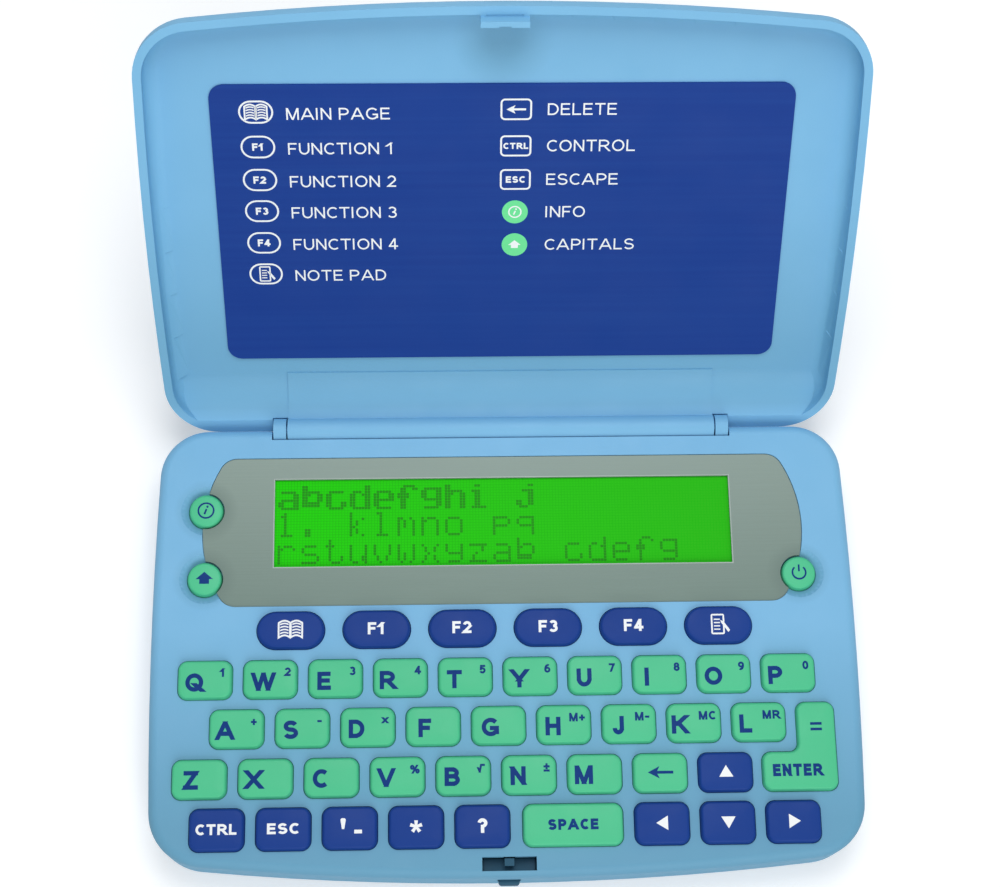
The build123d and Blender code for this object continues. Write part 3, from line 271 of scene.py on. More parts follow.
STEM = bar(0, 0, 0, 1)
FAR_STEM = bar(1, 0, 1, 1)
FOOT = bar(0, 0, 1, 0)
HEAD = bar(0, 1, 1, 1)
ROUND = bow(0.5, 0.5, 0.5, 0.5)
LETTERS = {
    "A": (1.0, slant(0, 0, 0.46, 1), slant(1, 0, 0.54, 1), bar(0.2, 0.28, 0.8, 0.28)),
    "B": (
        0.82,
        *(STEM, bar(0, 1, 0.5, 1), bar(0, 0.52, 0.55, 0.52), bar(0, 0, 0.55, 0)),
        *(bow(0.5, 0.76, 0.42, 0.24, -90, 90), bow(0.55, 0.26, 0.45, 0.26, -90, 90)),
    ),
    "C": (0.82, bow(0.6, 0.5, 0.6, 0.5, 48, 312)),
    "D": (0.85, STEM, bar(0, 1, 0.4, 1), bar(0, 0, 0.4, 0), bow(0.4, 0.5, 0.6, 0.5, -90, 90)),
    "E": (0.74, STEM, bar(0, 1, 0.96, 1), bar(0, 0.52, 0.88, 0.52), FOOT),
    "F": (0.69, STEM, HEAD, bar(0, 0.5, 0.85, 0.5)),
    "G": (
        0.95,
        *(bow(0.52, 0.5, 0.52, 0.5, 42, 322), bar(0.98, 0.14, 0.98, 0.42), bar(0.62, 0.42, 0.98, 0.42)),
    ),
    "H": (0.82, STEM, FAR_STEM, bar(0, 0.52, 1, 0.52)),
    "I": (0.2, STEM),
    "J": (0.62, bar(1, 0.3, 1, 1), bow(0.5, 0.3, 0.5, 0.3, 180, 360)),
    "K": (0.88, STEM, slant(0.32, 0.54, 0.94, 1), slant(1, 0, 0.4, 0.6)),
    "L": (0.68, STEM, FOOT),
    "M": (0.98, STEM, FAR_STEM, slant(0.47, 0, 0.06, 1), slant(0.53, 0, 0.94, 1)),
    "N": (0.82, STEM, FAR_STEM, slant(0.96, 0, 0.04, 1)),
    "O": (0.97, ROUND),
    "P": (0.78, STEM, bar(0, 1, 0.5, 1), bar(0, 0.44, 0.5, 0.44), bow(0.5, 0.72, 0.5, 0.28, -90, 90)),
    "Q": (0.97, ROUND, slant(1.0, -0.02, 0.62, 0.3)),
    "R": (
        0.88,
        *(STEM, bar(0, 1, 0.45, 1), bar(0, 0.46, 0.45, 0.46)),
        *(bow(0.45, 0.73, 0.47, 0.27, -90, 90), slant(1, 0, 0.5, 0.44)),
    ),
    "S": (0.8, bow(0.5, 0.755, 0.47, 0.245, 22, 270), bow(0.5, 0.255, 0.5, 0.255, -158, 90)),
    "T": (0.82, HEAD, bar(0.5, 0, 0.5, 1)),
    "U": (0.82, bar(0, 0.42, 0, 1), bar(1, 0.42, 1, 1), bow(0.5, 0.42, 0.5, 0.42, 180, 360)),
    "V": (0.94, slant(0.46, 0, 0, 1), slant(0.54, 0, 1, 1)),
    "W": (
        1.32,
        *(slant(0.24, 0, 0, 1), slant(0.27, 0, 0.48, 1), slant(0.73, 0, 0.52, 1), slant(0.76, 0, 1, 1)),
    ),
    "X": (0.92, slant(0, 0, 1, 1), slant(1, 0, 0, 1)),
    "Y": (0.94, slant(0.5, 0.42, 0, 1), slant(0.5, 0.42, 1, 1), bar(0.5, 0, 0.5, 0.46)),
    "Z": (0.8, bar(0.03, 1, 0.98, 1), FOOT, slant(0.04, 0, 0.96, 1)),
    "0": (0.7, ROUND),
    "1": (0.42, FAR_STEM, slant(0, 0.76, 0.9, 0.98)),
    "2": (0.7, bow(0.5, 0.7, 0.48, 0.3, -38, 165), slant(0.02, 0, 0.86, 0.52), FOOT),
    "3": (0.7, bow(0.48, 0.76, 0.45, 0.24, -90, 155), bow(0.48, 0.26, 0.52, 0.26, -155, 90)),
    "4": (0.74, bar(0.7, 0, 0.7, 1), bar(0, 0.26, 1, 0.26), slant(0.02, 0.3, 0.62, 1)),
    "5": (0.7, bar(0.2, 1, 0.92, 1), slant(0.08, 0.5, 0.16, 1), bow(0.46, 0.32, 0.54, 0.32, -155, 128)),
    "6": (0.7, bow(0.5, 0.3, 0.5, 0.3), bow(0.66, 0.42, 0.66, 0.58, 68, 186)),
    "7": (0.7, HEAD, slant(0.28, 0, 0.94, 1)),
    "8": (0.7, bow(0.5, 0.77, 0.42, 0.23), bow(0.5, 0.27, 0.5, 0.27)),
    "9": (0.7, bow(0.5, 0.7, 0.5, 0.3), bow(0.34, 0.58, 0.66, 0.58, 248, 366)),
    "+": (0.66, bar(0, 0.42, 1, 0.42), bar(0.5, 0.12, 0.5, 0.72)),
    "-": (0.5, bar(0, 0.42, 1, 0.42)),
    "x": (0.66, slant(0, 0.12, 1, 0.72), slant(1, 0.12, 0, 0.72)),
    "=": (0.66, bar(0, 0.28, 1, 0.28), bar(0, 0.66, 1, 0.66)),
    "%": (1.1, bow(0.16, 0.78, 0.16, 0.22), bow(0.84, 0.22, 0.16, 0.22), slant(0.25, 0, 0.75, 1)),
    "√": (0.95, slant(0.3, 0.02, 0.08, 0.5), slant(0.32, 0, 0.55, 1), bar(0.55, 1, 1, 1)),
    "±": (0.7, bar(0, 0.64, 1, 0.64), bar(0.5, 0.38, 0.5, 0.94), bar(0, 0.02, 1, 0.02)),
    "?": (0.68, bow(0.5, 0.73, 0.5, 0.27, -70, 172), bar(0.5, 0.3, 0.5, 0.42), bar(0.5, 0, 0.5, 0)),
}


def draw_stroke(stroke, width, weight):
    """One stroke as a flat sign in a box of the given width and height 1."""
    kind, x, y, *rest = stroke
    scale = np.array([width - weight, 1 - weight])
    half = weight / 2
    start = half + scale * (x, y)
    if kind == "bow":
        x_radius, y_radius, first, last = rest
        whole = last - first >= 360
        t = np.radians(np.linspace(first, last, 40 if whole else 24, endpoint=not whole))
        path = start + scale * (x_radius, y_radius) * np.stack([np.cos(t), np.sin(t)], -1)
        return band(path, weight, closed=whole)
    end = half + scale * rest
    run = end - start
    if kind == "bar":
        upright = abs(run[1]) > abs(run[0])
        reach = half * np.array([0, 1] if upright else [1, 0])
        across = half * np.array([1, 0] if upright else [0, 1])
    else:
        reach = half * run / run[1]
        across = half * np.hypot(*run) / run[1] * np.array([1, 0])
    path = np.linspace(start - reach, end + reach, 7)
    ahead = path[-1] - path[0]
    left, right = path - across, path + across
    if ahead[0] * across[1] > ahead[1] * across[0]:
        left, right = right, left
    return strip(left, right)


def lettering(words, height, weight=BOLD, width=None):
    """Words as a flat sign, centred, of a given height and, where named, stretched to a width."""
    parts = []
    pen = 0.0
    for letter in words:
        if letter == " ":
            pen += SPACE_GAP
            continue
        wide, *strokes = LETTERS[letter]
        wide = max(wide, weight)
        for stroke in strokes:
            points, faces = draw_stroke(stroke, wide, weight)
            lift = 1 + LIFT_STEP * (len(parts) % LIFT_COUNT)
            points[:, 2] = np.where(points[:, 2] > 0, lift, -1)
            parts.append((points + (pen, 0, 0), faces))
        pen += wide + LETTER_GAP
    points, faces = merge(parts)
    full = points[:, 0].max() - points[:, 0].min()
    middle = (points[:, 0].max() + points[:, 0].min()) / 2
    stretch = width / full if width else height
    plan = (points[:, :2] - (middle, 0.5)) * (stretch, height)
    return np.column_stack([plan, points[:, 2]]), faces


def circle(radius, start=0.0, end=2 * math.pi, steps=32):
    """Points of an arc: radius * (cos t, sin t)."""
    whole = abs(end - start) > 2 * math.pi - 0.001
    t = np.linspace(start, end, steps, endpoint=not whole)
    return radius * np.stack([np.cos(t), np.sin(t)], -1)


def triangle(size):
    """Filled triangle pointing up, a little wider than high."""
    return prism([(-0.56 * size, -0.42 * size), (0.56 * size, -0.42 * size), (0, 0.5 * size)])


def arrow_left(length):
    """Arrow with a swept head and a thin shaft, pointing left."""
    head = 0.46
    upper = [(0.5, 0.055), (0.8 * head - 0.5, 0.055), (head - 0.5, 0.24)]
    lower = [(x, -y) for x, y in upper[::-1]]
    return prism(np.array([*upper, (-0.5, 0), *lower]) * length)


def book_sign(width):
    """Open book: two leaves whose heads and feet bow by a sine, and waved lines of print."""
    half = width / 2
    x = np.linspace(0.03, 1.0, 9)
    head = 0.55 + 0.2 * np.sin(math.pi * x)
    foot = -0.72 + 0.2 * np.sin(math.pi * x)
    leaf = np.concatenate([np.stack([x, head], -1), np.stack([x, foot], -1)[::-1]]) * half
    parts = [band(leaf, 0.15 * half, closed=True), band(leaf * (-1, 1), 0.15 * half, closed=True)]
    print_line = np.linspace(0.16, 0.88, 7)
    for level in (0.34, 0.08, -0.18, -0.44):
        wave = np.stack([print_line, level + 0.17 * np.sin(math.pi * print_line)], -1) * half
        parts.append(band(wave, 0.12 * half))
        parts.append(band(wave * (-1, 1), 0.12 * half))
    return merge(parts)


def notes_sign(height):
    """Sheet of notes with ruled lines and a pencil across its corner."""
    half = height / 2
    sheet = rounded(box_corners(0.62 * half, half, -0.12 * half), 0.1 * half, steps=3)
    parts = [band(sheet, 0.17 * half, closed=True)]
    for level in (0.5, 0.15, -0.2, -0.55):
        parts.append(band([(-0.52 * half, level * half), (0.12 * half, level * half)], 0.13 * half))
    pencil = [(0.95, -0.85), (0.28, 0.1), (0.14, 0.42), (0.5, 0.28), (1.14, -0.65)]
    parts.append(prism(np.array(pencil[::-1]) * half))
    return merge(parts)


def info_sign(radius):
    """Slanted letter i inside a ring."""
    stem = band(np.array([(-0.2, -0.5), (0.06, 0.2)]) * radius, 0.24 * radius)
    dot = moved(prism(circle(0.15 * radius, steps=16)), 0.18 * radius, 0.52 * radius)
    return merge([band(circle(radius), 0.22 * radius, closed=True), stem, dot])


def shift_sign(width):
    """Broad filled arrow pointing up."""
    half = width / 2
    right = [(0.55, -0.6), (0.55, -0.05), (1, -0.05)]
    left = [(-x, y) for x, y in right[::-1]]
    return prism(np.array([*left, *right, (0, 0.8)]) * half)


def power_sign(radius):
    """Ring open at the top with an upright stroke in the opening."""
    gap = 0.7
    ring = band(circle(radius, math.pi / 2 + gap, 5 * math.pi / 2 - gap, 25), 0.26 * radius)
    return merge([ring, band([(0, 0.15 * radius), (0, 1.2 * radius)], 0.26 * radius)])


# ---------------- materials
CLOUD = (0.3, 0.7)  # a noise pattern lies mostly between these
GRID_LINE = 0.16  # share of the display's pitch between its dots
ROUND_KEYS = ("info", "shift", "power")
# painted shade on the case and the plate: round the round keys, to the front, and in the lid by the hinge and
# under the catch
ROUND_SHADE = (3.4, 6.4)  # shade round such a key: full and none, this far from its middle
SCOOP_MIDDLE = (0, 80.5, 5.5)  # to the right, along and outward on the lid
SCOOP_SHADE = (3.5, 9.5)
LID_SKIN = (7.2, 7.5)  # outward: the painted shade of the lid's hollow ends here
FRONT_SHADE = (-0.034, 0.004)  # metres to the rear: all painted front shade, none
HINGE_SHADE = (0.0465, 0.049)  # metres to the rear: none, full
LID_SHADE = (0.078, 0.058)
DISH_STRENGTH = 0.75  # how far the tone goes to the shade
HOLLOW_STRENGTH = 0.55
PLATE_STRENGTH = 0.6


def round_middles():
    """Middles of the round keys on the deck."""
    middles = []
    for key in ROUND_KEYS:
        low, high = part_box("key_" + key)
        middles.append(((low.x + high.x) / 2 / MM, (low.y + high.y) / 2 / MM, DECK))
    return middles


class Finish:
    """A node material built up from one Principled shader and patterns on object coordinates."""

    def __init__(self, name, colour, roughness, mirror=0.5, metallic=0.0):
        self.material = bpy.data.materials.new(name)
        self.material.use_nodes = True
        self.nodes = self.material.node_tree.nodes
        self.links = self.material.node_tree.links
        self.shader = self.nodes["Principled BSDF"]
        self.shader.inputs["Base Color"].default_value = linear(*colour)
        self.shader.inputs["Roughness"].default_value = roughness
        self.shader.inputs["Specular IOR Level"].default_value = mirror
        self.shader.inputs["Metallic"].default_value = metallic
        self.place = self.nodes.new("ShaderNodeTexCoord").outputs["Object"]

    def noise(self, scale, detail=2.0, stretch=(1, 1, 1)):
        """Cloudy pattern whose grain is about 1 / scale metres, stretched along the axes."""
        mapping = self.nodes.new("ShaderNodeMapping")
        mapping.inputs["Scale"].default_value = stretch
        self.links.new(self.place, mapping.inputs["Vector"])
        pattern = self.nodes.new("ShaderNodeTexNoise")
        pattern.inputs["Scale"].default_value = scale
        pattern.inputs["Detail"].default_value = detail
        self.links.new(mapping.outputs["Vector"], pattern.inputs["Vector"])
        return pattern.outputs["Fac"]

    def fit(self, source, low, high, start=0.0, end=1.0):
        """Source from low to high carried to start to end, held at the ends."""
        reach = self.nodes.new("ShaderNodeMapRange")
        for socket, value in (("From Min", low), ("From Max", high), ("To Min", start), ("To Max", end)):
            reach.inputs[socket].default_value = value
        self.links.new(source, reach.inputs["Value"])
        return reach.outputs["Result"]

    def blend(self, factor, low, high):
        """Colour between low and high by a factor; either may be a socket."""
        mix = self.nodes.new("ShaderNodeMix")
        mix.data_type = "RGBA"
        self.links.new(factor, mix.inputs["Factor"])
        for socket, colour in ((mix.inputs[6], low), (mix.inputs[7], high)):
            if isinstance(colour, bpy.types.NodeSocket):
                self.links.new(colour, socket)
            else:
                socket.default_value = linear(*colour)
        return mix.outputs[2]

    def calculate(self, operation, first, second):
        """One step of arithmetic on a socket and a socket or number."""
        step = self.nodes.new("ShaderNodeMath")
        step.operation = operation
        self.links.new(first, step.inputs[0])
        if isinstance(second, bpy.types.NodeSocket):
            self.links.new(second, step.inputs[1])
        else:
            step.inputs[1].default_value = second
        return step.outputs[0]

    def ripple(self, source, pitch, share):
        """1 where the fraction of source / pitch is over 1 - share, 0 elsewhere: narrow lines."""
        turns = self.calculate("FRACT", self.calculate("DIVIDE", source, pitch * MM), 0.0)
        return self.calculate("GREATER_THAN", turns, 1 - share)

    def along(self, direction):
        """Metres along a direction from the origin."""
        reach = self.nodes.new("ShaderNodeVectorMath")
        reach.operation = "DOT_PRODUCT"
        self.links.new(self.place, reach.inputs[0])
        reach.inputs[1].default_value = direction
        return reach.outputs["Value"]

    def nearness(self, places, inner, outer):
        """1 within inner millimetres of any of the places, falling to 0 at outer."""
        nearest = None
        for place in places:
            away = self.nodes.new("ShaderNodeVectorMath")
            away.operation = "DISTANCE"
            self.links.new(self.place, away.inputs[0])
            away.inputs[1].default_value = np.asarray(place) * MM
            away = away.outputs["Value"]
            nearest = self.calculate("MINIMUM", nearest, away) if nearest else away
        return self.fit(nearest, inner * MM, outer * MM, 1.0, 0.0)

    def paint(self, socket, source):
        """Feed a pattern into one of the shader's inputs."""
        self.links.new(source, self.shader.inputs[socket])

    def relief(self, source, depth):
        """Bump of a depth in millimetres."""
        bump = self.nodes.new("ShaderNodeBump")
        bump.inputs["Strength"].default_value = 1.0
        bump.inputs["Distance"].default_value = depth * MM
        self.links.new(source, bump.inputs["Height"])
        self.paint("Normal", bump.outputs["Normal"])

    def clouds(self, scale, detail=2.0):
        """Cloudy pattern spread over the whole of 0 to 1."""
        return self.fit(self.noise(scale, detail), *CLOUD)

    def gloss(self, pattern, low, high):
        """Roughness that follows a cloudy pattern."""
        self.paint("Roughness", self.fit(pattern, *CLOUD, low, high))


def moulded(name, colour, shade, roughness, grain=3200, depth=0.012, mirror=0.5, front=None):
    """Moulded plastic: two close tones in broad clouds, a fine grain and a slightly uneven gloss.

    With a front colour, painted shade: the tone changes to it over the front half of the
    base, round the round keys, and in the lid by the hinge and under the catch.
    """
    made = Finish(name, colour, roughness, mirror)
    tone = made.blend(made.clouds(35, 3), shade, colour)
    if front:
        # painted shade: the tone goes to the front colour towards the front of the base
        tone = made.blend(made.fit(made.along(REARWARD), *FRONT_SHADE), front, tone)
        # painted shade round the round keys, in their dishes
        dish_shade = made.calculate("MULTIPLY", made.nearness(round_middles(), *ROUND_SHADE), DISH_STRENGTH)
        # painted shade in the lid by the hinge and under the catch, kept off the lid's back
        rear = made.along(REARWARD)
        hollow_shade = made.calculate("MINIMUM", made.fit(rear, *HINGE_SHADE), made.fit(rear, *LID_SHADE))
        scoop_shadow = made.nearness([lid_place(*SCOOP_MIDDLE)], *SCOOP_SHADE)
        hollow_shade = made.calculate("MAXIMUM", hollow_shade, scoop_shadow)
        skin = [(HINGE @ LID_OUTWARD + level) * MM for level in LID_SKIN]
        hollow_shade = made.calculate("MINIMUM", hollow_shade, made.fit(made.along(LID_OUTWARD), *skin, 1.0, 0.0))
        hollow_shade = made.calculate("MULTIPLY", hollow_shade, HOLLOW_STRENGTH)
        tone = made.blend(made.calculate("MAXIMUM", dish_shade, hollow_shade), tone, front)
    made.paint("Base Color", tone)
    made.gloss(made.noise(160, 3), roughness - 0.05, roughness + 0.07)
    made.relief(made.noise(grain, 2), depth)
    return made.material


def metal(name, colour, shade, roughness, stretch):
    """Drawn or brushed metal: fine streaks across the piece."""
    made = Finish(name, colour, roughness, metallic=1.0)
    streak = made.noise(1.0, 2, stretch)
    made.paint("Base Color", made.blend(made.fit(streak, *CLOUD), shade, colour))
    made.gloss(streak, roughness - 0.06, roughness + 0.1)
    made.relief(streak, 0.004)
    return made.material


def card_film():
    """Satin printed film: deep blue with faint level streaks from printing."""
    made = Finish("card_film", (14, 58, 140), 0.5, 0.15)
    streak = made.noise(1.0, 3, (14, 900, 900))
    made.paint("Base Color", made.blend(made.fit(streak, *CLOUD), (12, 55, 138), (17, 61, 143)))
    made.gloss(made.noise(90, 2), 0.45, 0.55)
    made.relief(made.noise(700, 2), 0.003)
    return made.material


def plate_film():
    """Silver printed film: greenish grey with very fine brushing along x, and painted shade: lighter to the rear,
    darker to the front and round the round keys.
    """
    made = Finish("plate_film", (130, 147, 139), 0.45, 0.25, metallic=0.1)
    streak = made.fit(made.noise(1.0, 3, (60, 3600, 60)), *CLOUD)
    # painted shade: a lighter film to the rear, a darker one to the front
    rear = made.blend(streak, (129, 146, 138), (134, 151, 143))
    front = made.blend(streak, (106, 126, 118), (111, 131, 123))
    film = made.blend(made.fit(made.along(REARWARD), 0.008, 0.038), front, rear)
    # painted shade round the round keys
    dish_shade = made.calculate("MULTIPLY", made.nearness(round_middles(), *ROUND_SHADE), PLATE_STRENGTH)
    made.paint("Base Color", made.blend(dish_shade, film, (98, 116, 110)))
    made.paint("Roughness", made.fit(streak, 0.0, 1.0, 0.4, 0.5))
    made.relief(streak, 0.0015)
    return made.material


def display_green():
    """Green display: brighter at the left, darker at the right, with a fine grid of dots."""
    made = Finish("display_green", (20, 190, 12), 0.5, 0.02)
    colour = made.blend(made.fit(made.along(RIGHTWARD), -0.046, 0.046), (38, 214, 18), (50, 188, 30))
    across = made.ripple(made.along(RIGHTWARD), DOT_WIDTH, GRID_LINE)
    down = made.ripple(made.along(REARWARD), DOT_DEPTH, GRID_LINE)
    made.paint("Base Color", made.blend(made.calculate("MAXIMUM", across, down), colour, (38, 186, 24)))
    made.gloss(made.noise(250, 2), 0.45, 0.55)
    return made.material


STEEL = metal("steel", (190, 192, 196), (170, 172, 175), 0.32, (40, 2500, 40))
# painted highlight: a lighter silver for the line round the display window, where its edge catches the light
WINDOW_HIGHLIGHT = moulded("window_highlight", (158, 172, 166), (150, 165, 158), 0.4)
FINISHES = {
    # the case's front colour is painted shade
    "case": moulded("case_blue", (126, 187, 226), (121, 182, 221), 0.5, mirror=0.25, front=(103, 161, 192)),
    "key_green": moulded("key_green", (80, 198, 146), (74, 192, 140), 0.45, 2600, 0.008, 0.25),
    "key_navy": moulded("key_navy", (18, 60, 140), (15, 56, 134), 0.5, 2600, 0.008, 0.18),
    "plate": plate_film(),
    "display": display_green(),
    "card": card_film(),
    "latch": moulded("latch_slate", (46, 90, 114), (41, 83, 106), 0.5, mirror=0.15),
    "silicone": moulded("silicone_grey", (60, 110, 120), (52, 100, 110), 0.6),
    "board": moulded("board_green", (30, 92, 56), (24, 80, 48), 0.4),
    "cell": STEEL,
    "contact": metal("nickel", (205, 200, 186), (184, 179, 166), 0.3, (2200, 60, 60)),
    "screw": STEEL,
    "print_dark": moulded("print_dark", (8, 56, 126), (6, 50, 118), 0.5, mirror=0.12),
    "print_white": moulded("print_white", (244, 247, 248), (236, 241, 244), 0.45),
    "print_green": moulded("print_green", (100, 226, 148), (94, 218, 142), 0.4),
    "display_dots": moulded("display_dark", (44, 146, 34), (40, 138, 32), 0.5, mirror=0.02),
}
SLOTS = {part["node"]: part["material_slot"] for part in frame["record"]["subparts"]}
BODIES = {node: body for body, nodes in frame["record"]["behaviour"]["bodies"].items() for node in nodes}
SMOOTHED = ("top_case", "bottom_case", "lid_shell", "battery_door", "latch_button", "display_plate")


def dress_node(node):
    """Give a node of the frame the finish of its slot."""
    materials = frame["nodes"][node].data.materials
    materials.clear()
    materials.append(FINISHES[SLOTS[node]])


# the smooth top edge runs on under the wall and the deck by a tuck, just behind their faces
EDGE_TUCK = 0.3
EDGE_BEHIND = 0.02
EDGE_BELOW = 0.015
EDGE_REACH = 0.15  # a little past the rounded edge
EDGE_SLACK = 0.006
KNUCKLE_FRONT = 40
LEVEL = 0.999  # a face's normal lies along an axis
SAME_PLACE = 0.001
LEAST_LENGTH = 1e-18


def even_normals(mesh):
    """Shade a mesh of triangles evenly.

    A corner's normal is the sum, over the faces at its vertex that turn by less than
    SHARP_ANGLE from its own face, of area times normal, so that flats stay flat.
    """
    count = len(mesh.polygons)
    area, normal = np.empty(count), np.empty(3 * count)
    mesh.polygons.foreach_get("area", area)
    mesh.polygons.foreach_get("normal", normal)
    normal = normal.reshape(-1, 3)
    vertex = np.empty(3 * count, int)
    mesh.loops.foreach_get("vertex_index", vertex)
    face = np.repeat(np.arange(count), 3)
    pull = area[face, None] * normal[face]
    order = np.argsort(vertex, kind="stable")
    _, first, held = np.unique(vertex[order], return_index=True, return_counts=True)
    pairs = held * held
    group = np.repeat(np.arange(len(held)), pairs)
    within = np.arange(pairs.sum()) - np.repeat(np.cumsum(pairs) - pairs, pairs)
    own = order[first[group] + within // held[group]]
    other = order[first[group] + within % held[group]]
    near = np.sum(normal[face[own]] * normal[face[other]], axis=1) > math.cos(math.radians(SHARP_ANGLE))
    total = np.zeros((3 * count, 3))
    np.add.at(total, own[near], pull[other[near]])
    total /= np.maximum(np.linalg.norm(total, axis=1), LEAST_LENGTH)[:, None]
    mesh.normals_split_custom_set(total.tolist())


def smooth_node(node):
    """A node's own surface with its loose triangles joined and its curves shaded evenly."""
    form = bmesh.new()
    form.from_mesh(frame["nodes"][node].data)
    bmesh.ops.remove_doubles(form, verts=form.verts, dist=SAME_PLACE * MM)
    if node == "top_case":
        clear_top_edge(form)
    mesh = bpy.data.meshes.new("smooth_" + node)
    form.to_mesh(mesh)
    form.free()
    mesh.shade_smooth()
    even_normals(mesh)
    mesh.materials.clear()
    mesh.materials.append(FINISHES[SLOTS[node]])
    piece = hang("smooth_" + node, mesh, BODIES[node])
    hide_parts(node)


def top_edge_start():
    """Right half of the base's outline where its rounded top edge begins, with outward normals.

    It runs from beside the catch slot to the hinge, on the wall's own corners, in steps of at
    most a millimetre. At a corner the tangent is the mean of the two runs, each weighed by the
    other's length, and it turns evenly between corners. The normal is (tangent y, -tangent x).
    """
    mesh = frame["nodes"]["top_case"].data
    place = np.empty(3 * len(mesh.vertices))
    mesh.vertices.foreach_get("co", place)
    place = np.unique(np.round(place.reshape(-1, 3) / MM, 2), axis=0)
    outline = place[np.abs(place[:, 2] - (DECK - TOP_EDGE)) < EDGE_SLACK, :2]
    outline = outline[outline[:, 0] > SLOT_SIDE]
    outline = outline[np.argsort(np.arctan2(outline[:, 1], outline[:, 0]))]
    run = np.diff(outline, axis=0)
    length = np.linalg.norm(run, axis=1)[:, None]
    way = run / length
    turned = way[:-1] * length[1:] + way[1:] * length[:-1]
    tangent = np.concatenate([way[:1], turned / np.linalg.norm(turned, axis=1)[:, None], way[-1:]])
    corner = np.append(0, np.cumsum(length))
    step = np.union1d(corner, np.arange(0, corner[-1], 1.0))
    place = np.column_stack([np.interp(step, corner, outline[:, axis]) for axis in (0, 1)])
    normal = np.column_stack([np.interp(step, corner, side) for side in (tangent[:, 1], -tangent[:, 0])])
    return place, normal / np.linalg.norm(normal, axis=1)[:, None]


def add_top_edge(name, side):
    """Rounded top edge of the base on one side, as a surface over its outline.

    At turn t from 0 to a quarter, inset = radius * (1 - cos t) and height = start + radius *
    sin t. One more row at each end tucks under the wall and the deck.
    """
    place, normal = top_edge_start()
    turn = np.linspace(0, math.pi / 2, 9)
    inset = np.concatenate([[EDGE_BEHIND], TOP_EDGE * (1 - np.cos(turn)), [TOP_EDGE + EDGE_TUCK]])
    height = TOP_EDGE * np.sin(turn)
    height = DECK - TOP_EDGE + np.concatenate([[-EDGE_TUCK], height, [TOP_EDGE - EDGE_BELOW]])
    plan = place[None] - inset[:, None, None] * normal[None]
    level = np.broadcast_to(height[:, None], plan.shape[:2])
    points = np.stack([side * plan[..., 0], plan[..., 1], level], -1)
    rows, count = level.shape
    first = (np.arange(rows - 1)[:, None] * count + np.arange(count - 1)[None]).ravel()
    quads = np.stack([first, first + 1, first + count + 1, first + count], -1)
    faces = [tuple(quad) for quad in (quads if side > 0 else quads[:, ::-1])]
    add_piece(name, (points.reshape(-1, 3), faces), "base", "case")


def clear_top_edge(form):
    """Take the rounded top edge off a copy of the case, where the smooth one takes its place."""
    outline, _ = top_edge_start()
    place = np.array([corner.co for corner in form.verts]) / MM
    side = np.abs(place[:, 0])
    away = np.min(np.hypot(side[:, None] - outline[:, 0], place[:, 1:2] - outline[:, 1]), axis=1)
    within = side >= np.where(place[:, 1] < 0, SLOT_SIDE, KNUCKLE_SIDE)
    on_edge = within & (away < TOP_EDGE + EDGE_REACH) & (place[:, 2] > DECK - TOP_EDGE - EDGE_SLACK)
    form.verts.index_update()
    worn = []
    for face in form.faces:
        numbers = [corner.index for corner in face.verts]
        deck = place[numbers, 2].min() > DECK - EDGE_SLACK / 2
        knuckle_end = abs(face.normal.x) > LEVEL and place[numbers, 1].min() > KNUCKLE_FRONT
        if on_edge[numbers].all() and not deck and not knuckle_end:
            worn.append(face)
    bmesh.ops.delete(form, geom=worn, context="FACES")


for node in frame["nodes"]:
    dress_node(node)
for node in SMOOTHED:
    smooth_node(node)
add_top_edge("case_edge_right", 1)
add_top_edge("case_edge_left", -1)


# ---------------- key caps
def cap_height(inset, rim):
    """Height of the cap over its inset: a quarter circle at the rim, then a rise of crown * sin."""
    inset = np.asarray(inset, float)
    arc = np.clip(inset / KEY_EDGE, 0, 1)
    corner = KEY_EDGE * (np.sqrt(1 - (1 - arc) ** 2) - 1)
    share = np.clip((inset - KEY_EDGE) / (CROWN_REACH - KEY_EDGE), 0, 1)
    return rim - KEY_CROWN + corner + KEY_CROWN * np.sin(share * math.pi / 2)


PILL_KEYS = ("book", "f1", "f2", "f3", "f4", "notes")
PILL_FLAT = 0.01  # left between the two arcs of a round end
PILL_SUNK = 0.2  # contact pill into the flange


class Cap:
    """Place and outline of one key, read from its CAD node: corners about the cap's own middle."""

    def __init__(self, key):
        low, high = (np.array(corner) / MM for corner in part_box("key_" + key))
        self.key = key
        self.round = key in ROUND_KEYS
        self.low, self.top = low[2], high[2]
        half = (high - low) / 2 - FLANGE_RIM
        self.x, self.y = ((low + high) / 2)[:2]
        self.half = half[:2]
        self.corners = box_corners(*self.half)
        if key == "enter":
            foot = KEY_DEPTH / 2
            self.y = low[1] + FLANGE_RIM + foot
            wide, rear = half[0], 2 * half[1] - foot
            self.half = np.array([wide, foot])
            arm = [(wide, rear), (wide - ENTER_ARM, rear), (wide - ENTER_ARM, foot)]
            self.corners = [(-wide, -foot), (wide, -foot), *arm, (-wide, foot)]
        is_pill = self.round or key in PILL_KEYS
        self.radius = min(self.half) - PILL_FLAT if is_pill else KEY_CORNER

    def at_key(self, plan, height):
        """Level outline at the key's place."""
        return at_height(plan + (self.x, self.y), height)

    def ring(self, inset, height):
        """Level outline of the cap, moved inward by the inset."""
        steps = 12 if self.round else 8
        return self.at_key(rounded(self.corners, self.radius, inset, steps), height)

    def pill(self, height):
        """Level outline of the contact pill under the cap's foot."""
        return self.at_key(rounded(box_corners(*self.half), self.radius, PILL_INSET), height)

    def surface(self, x, y):
        """Height of the cap at a place measured from its middle."""
        inset = np.minimum(self.half[0] - np.abs(x), self.half[1] - np.abs(y))
        if self.key == "enter":
            inset = np.maximum(inset, CROWN_REACH)
        return cap_height(inset, self.top)


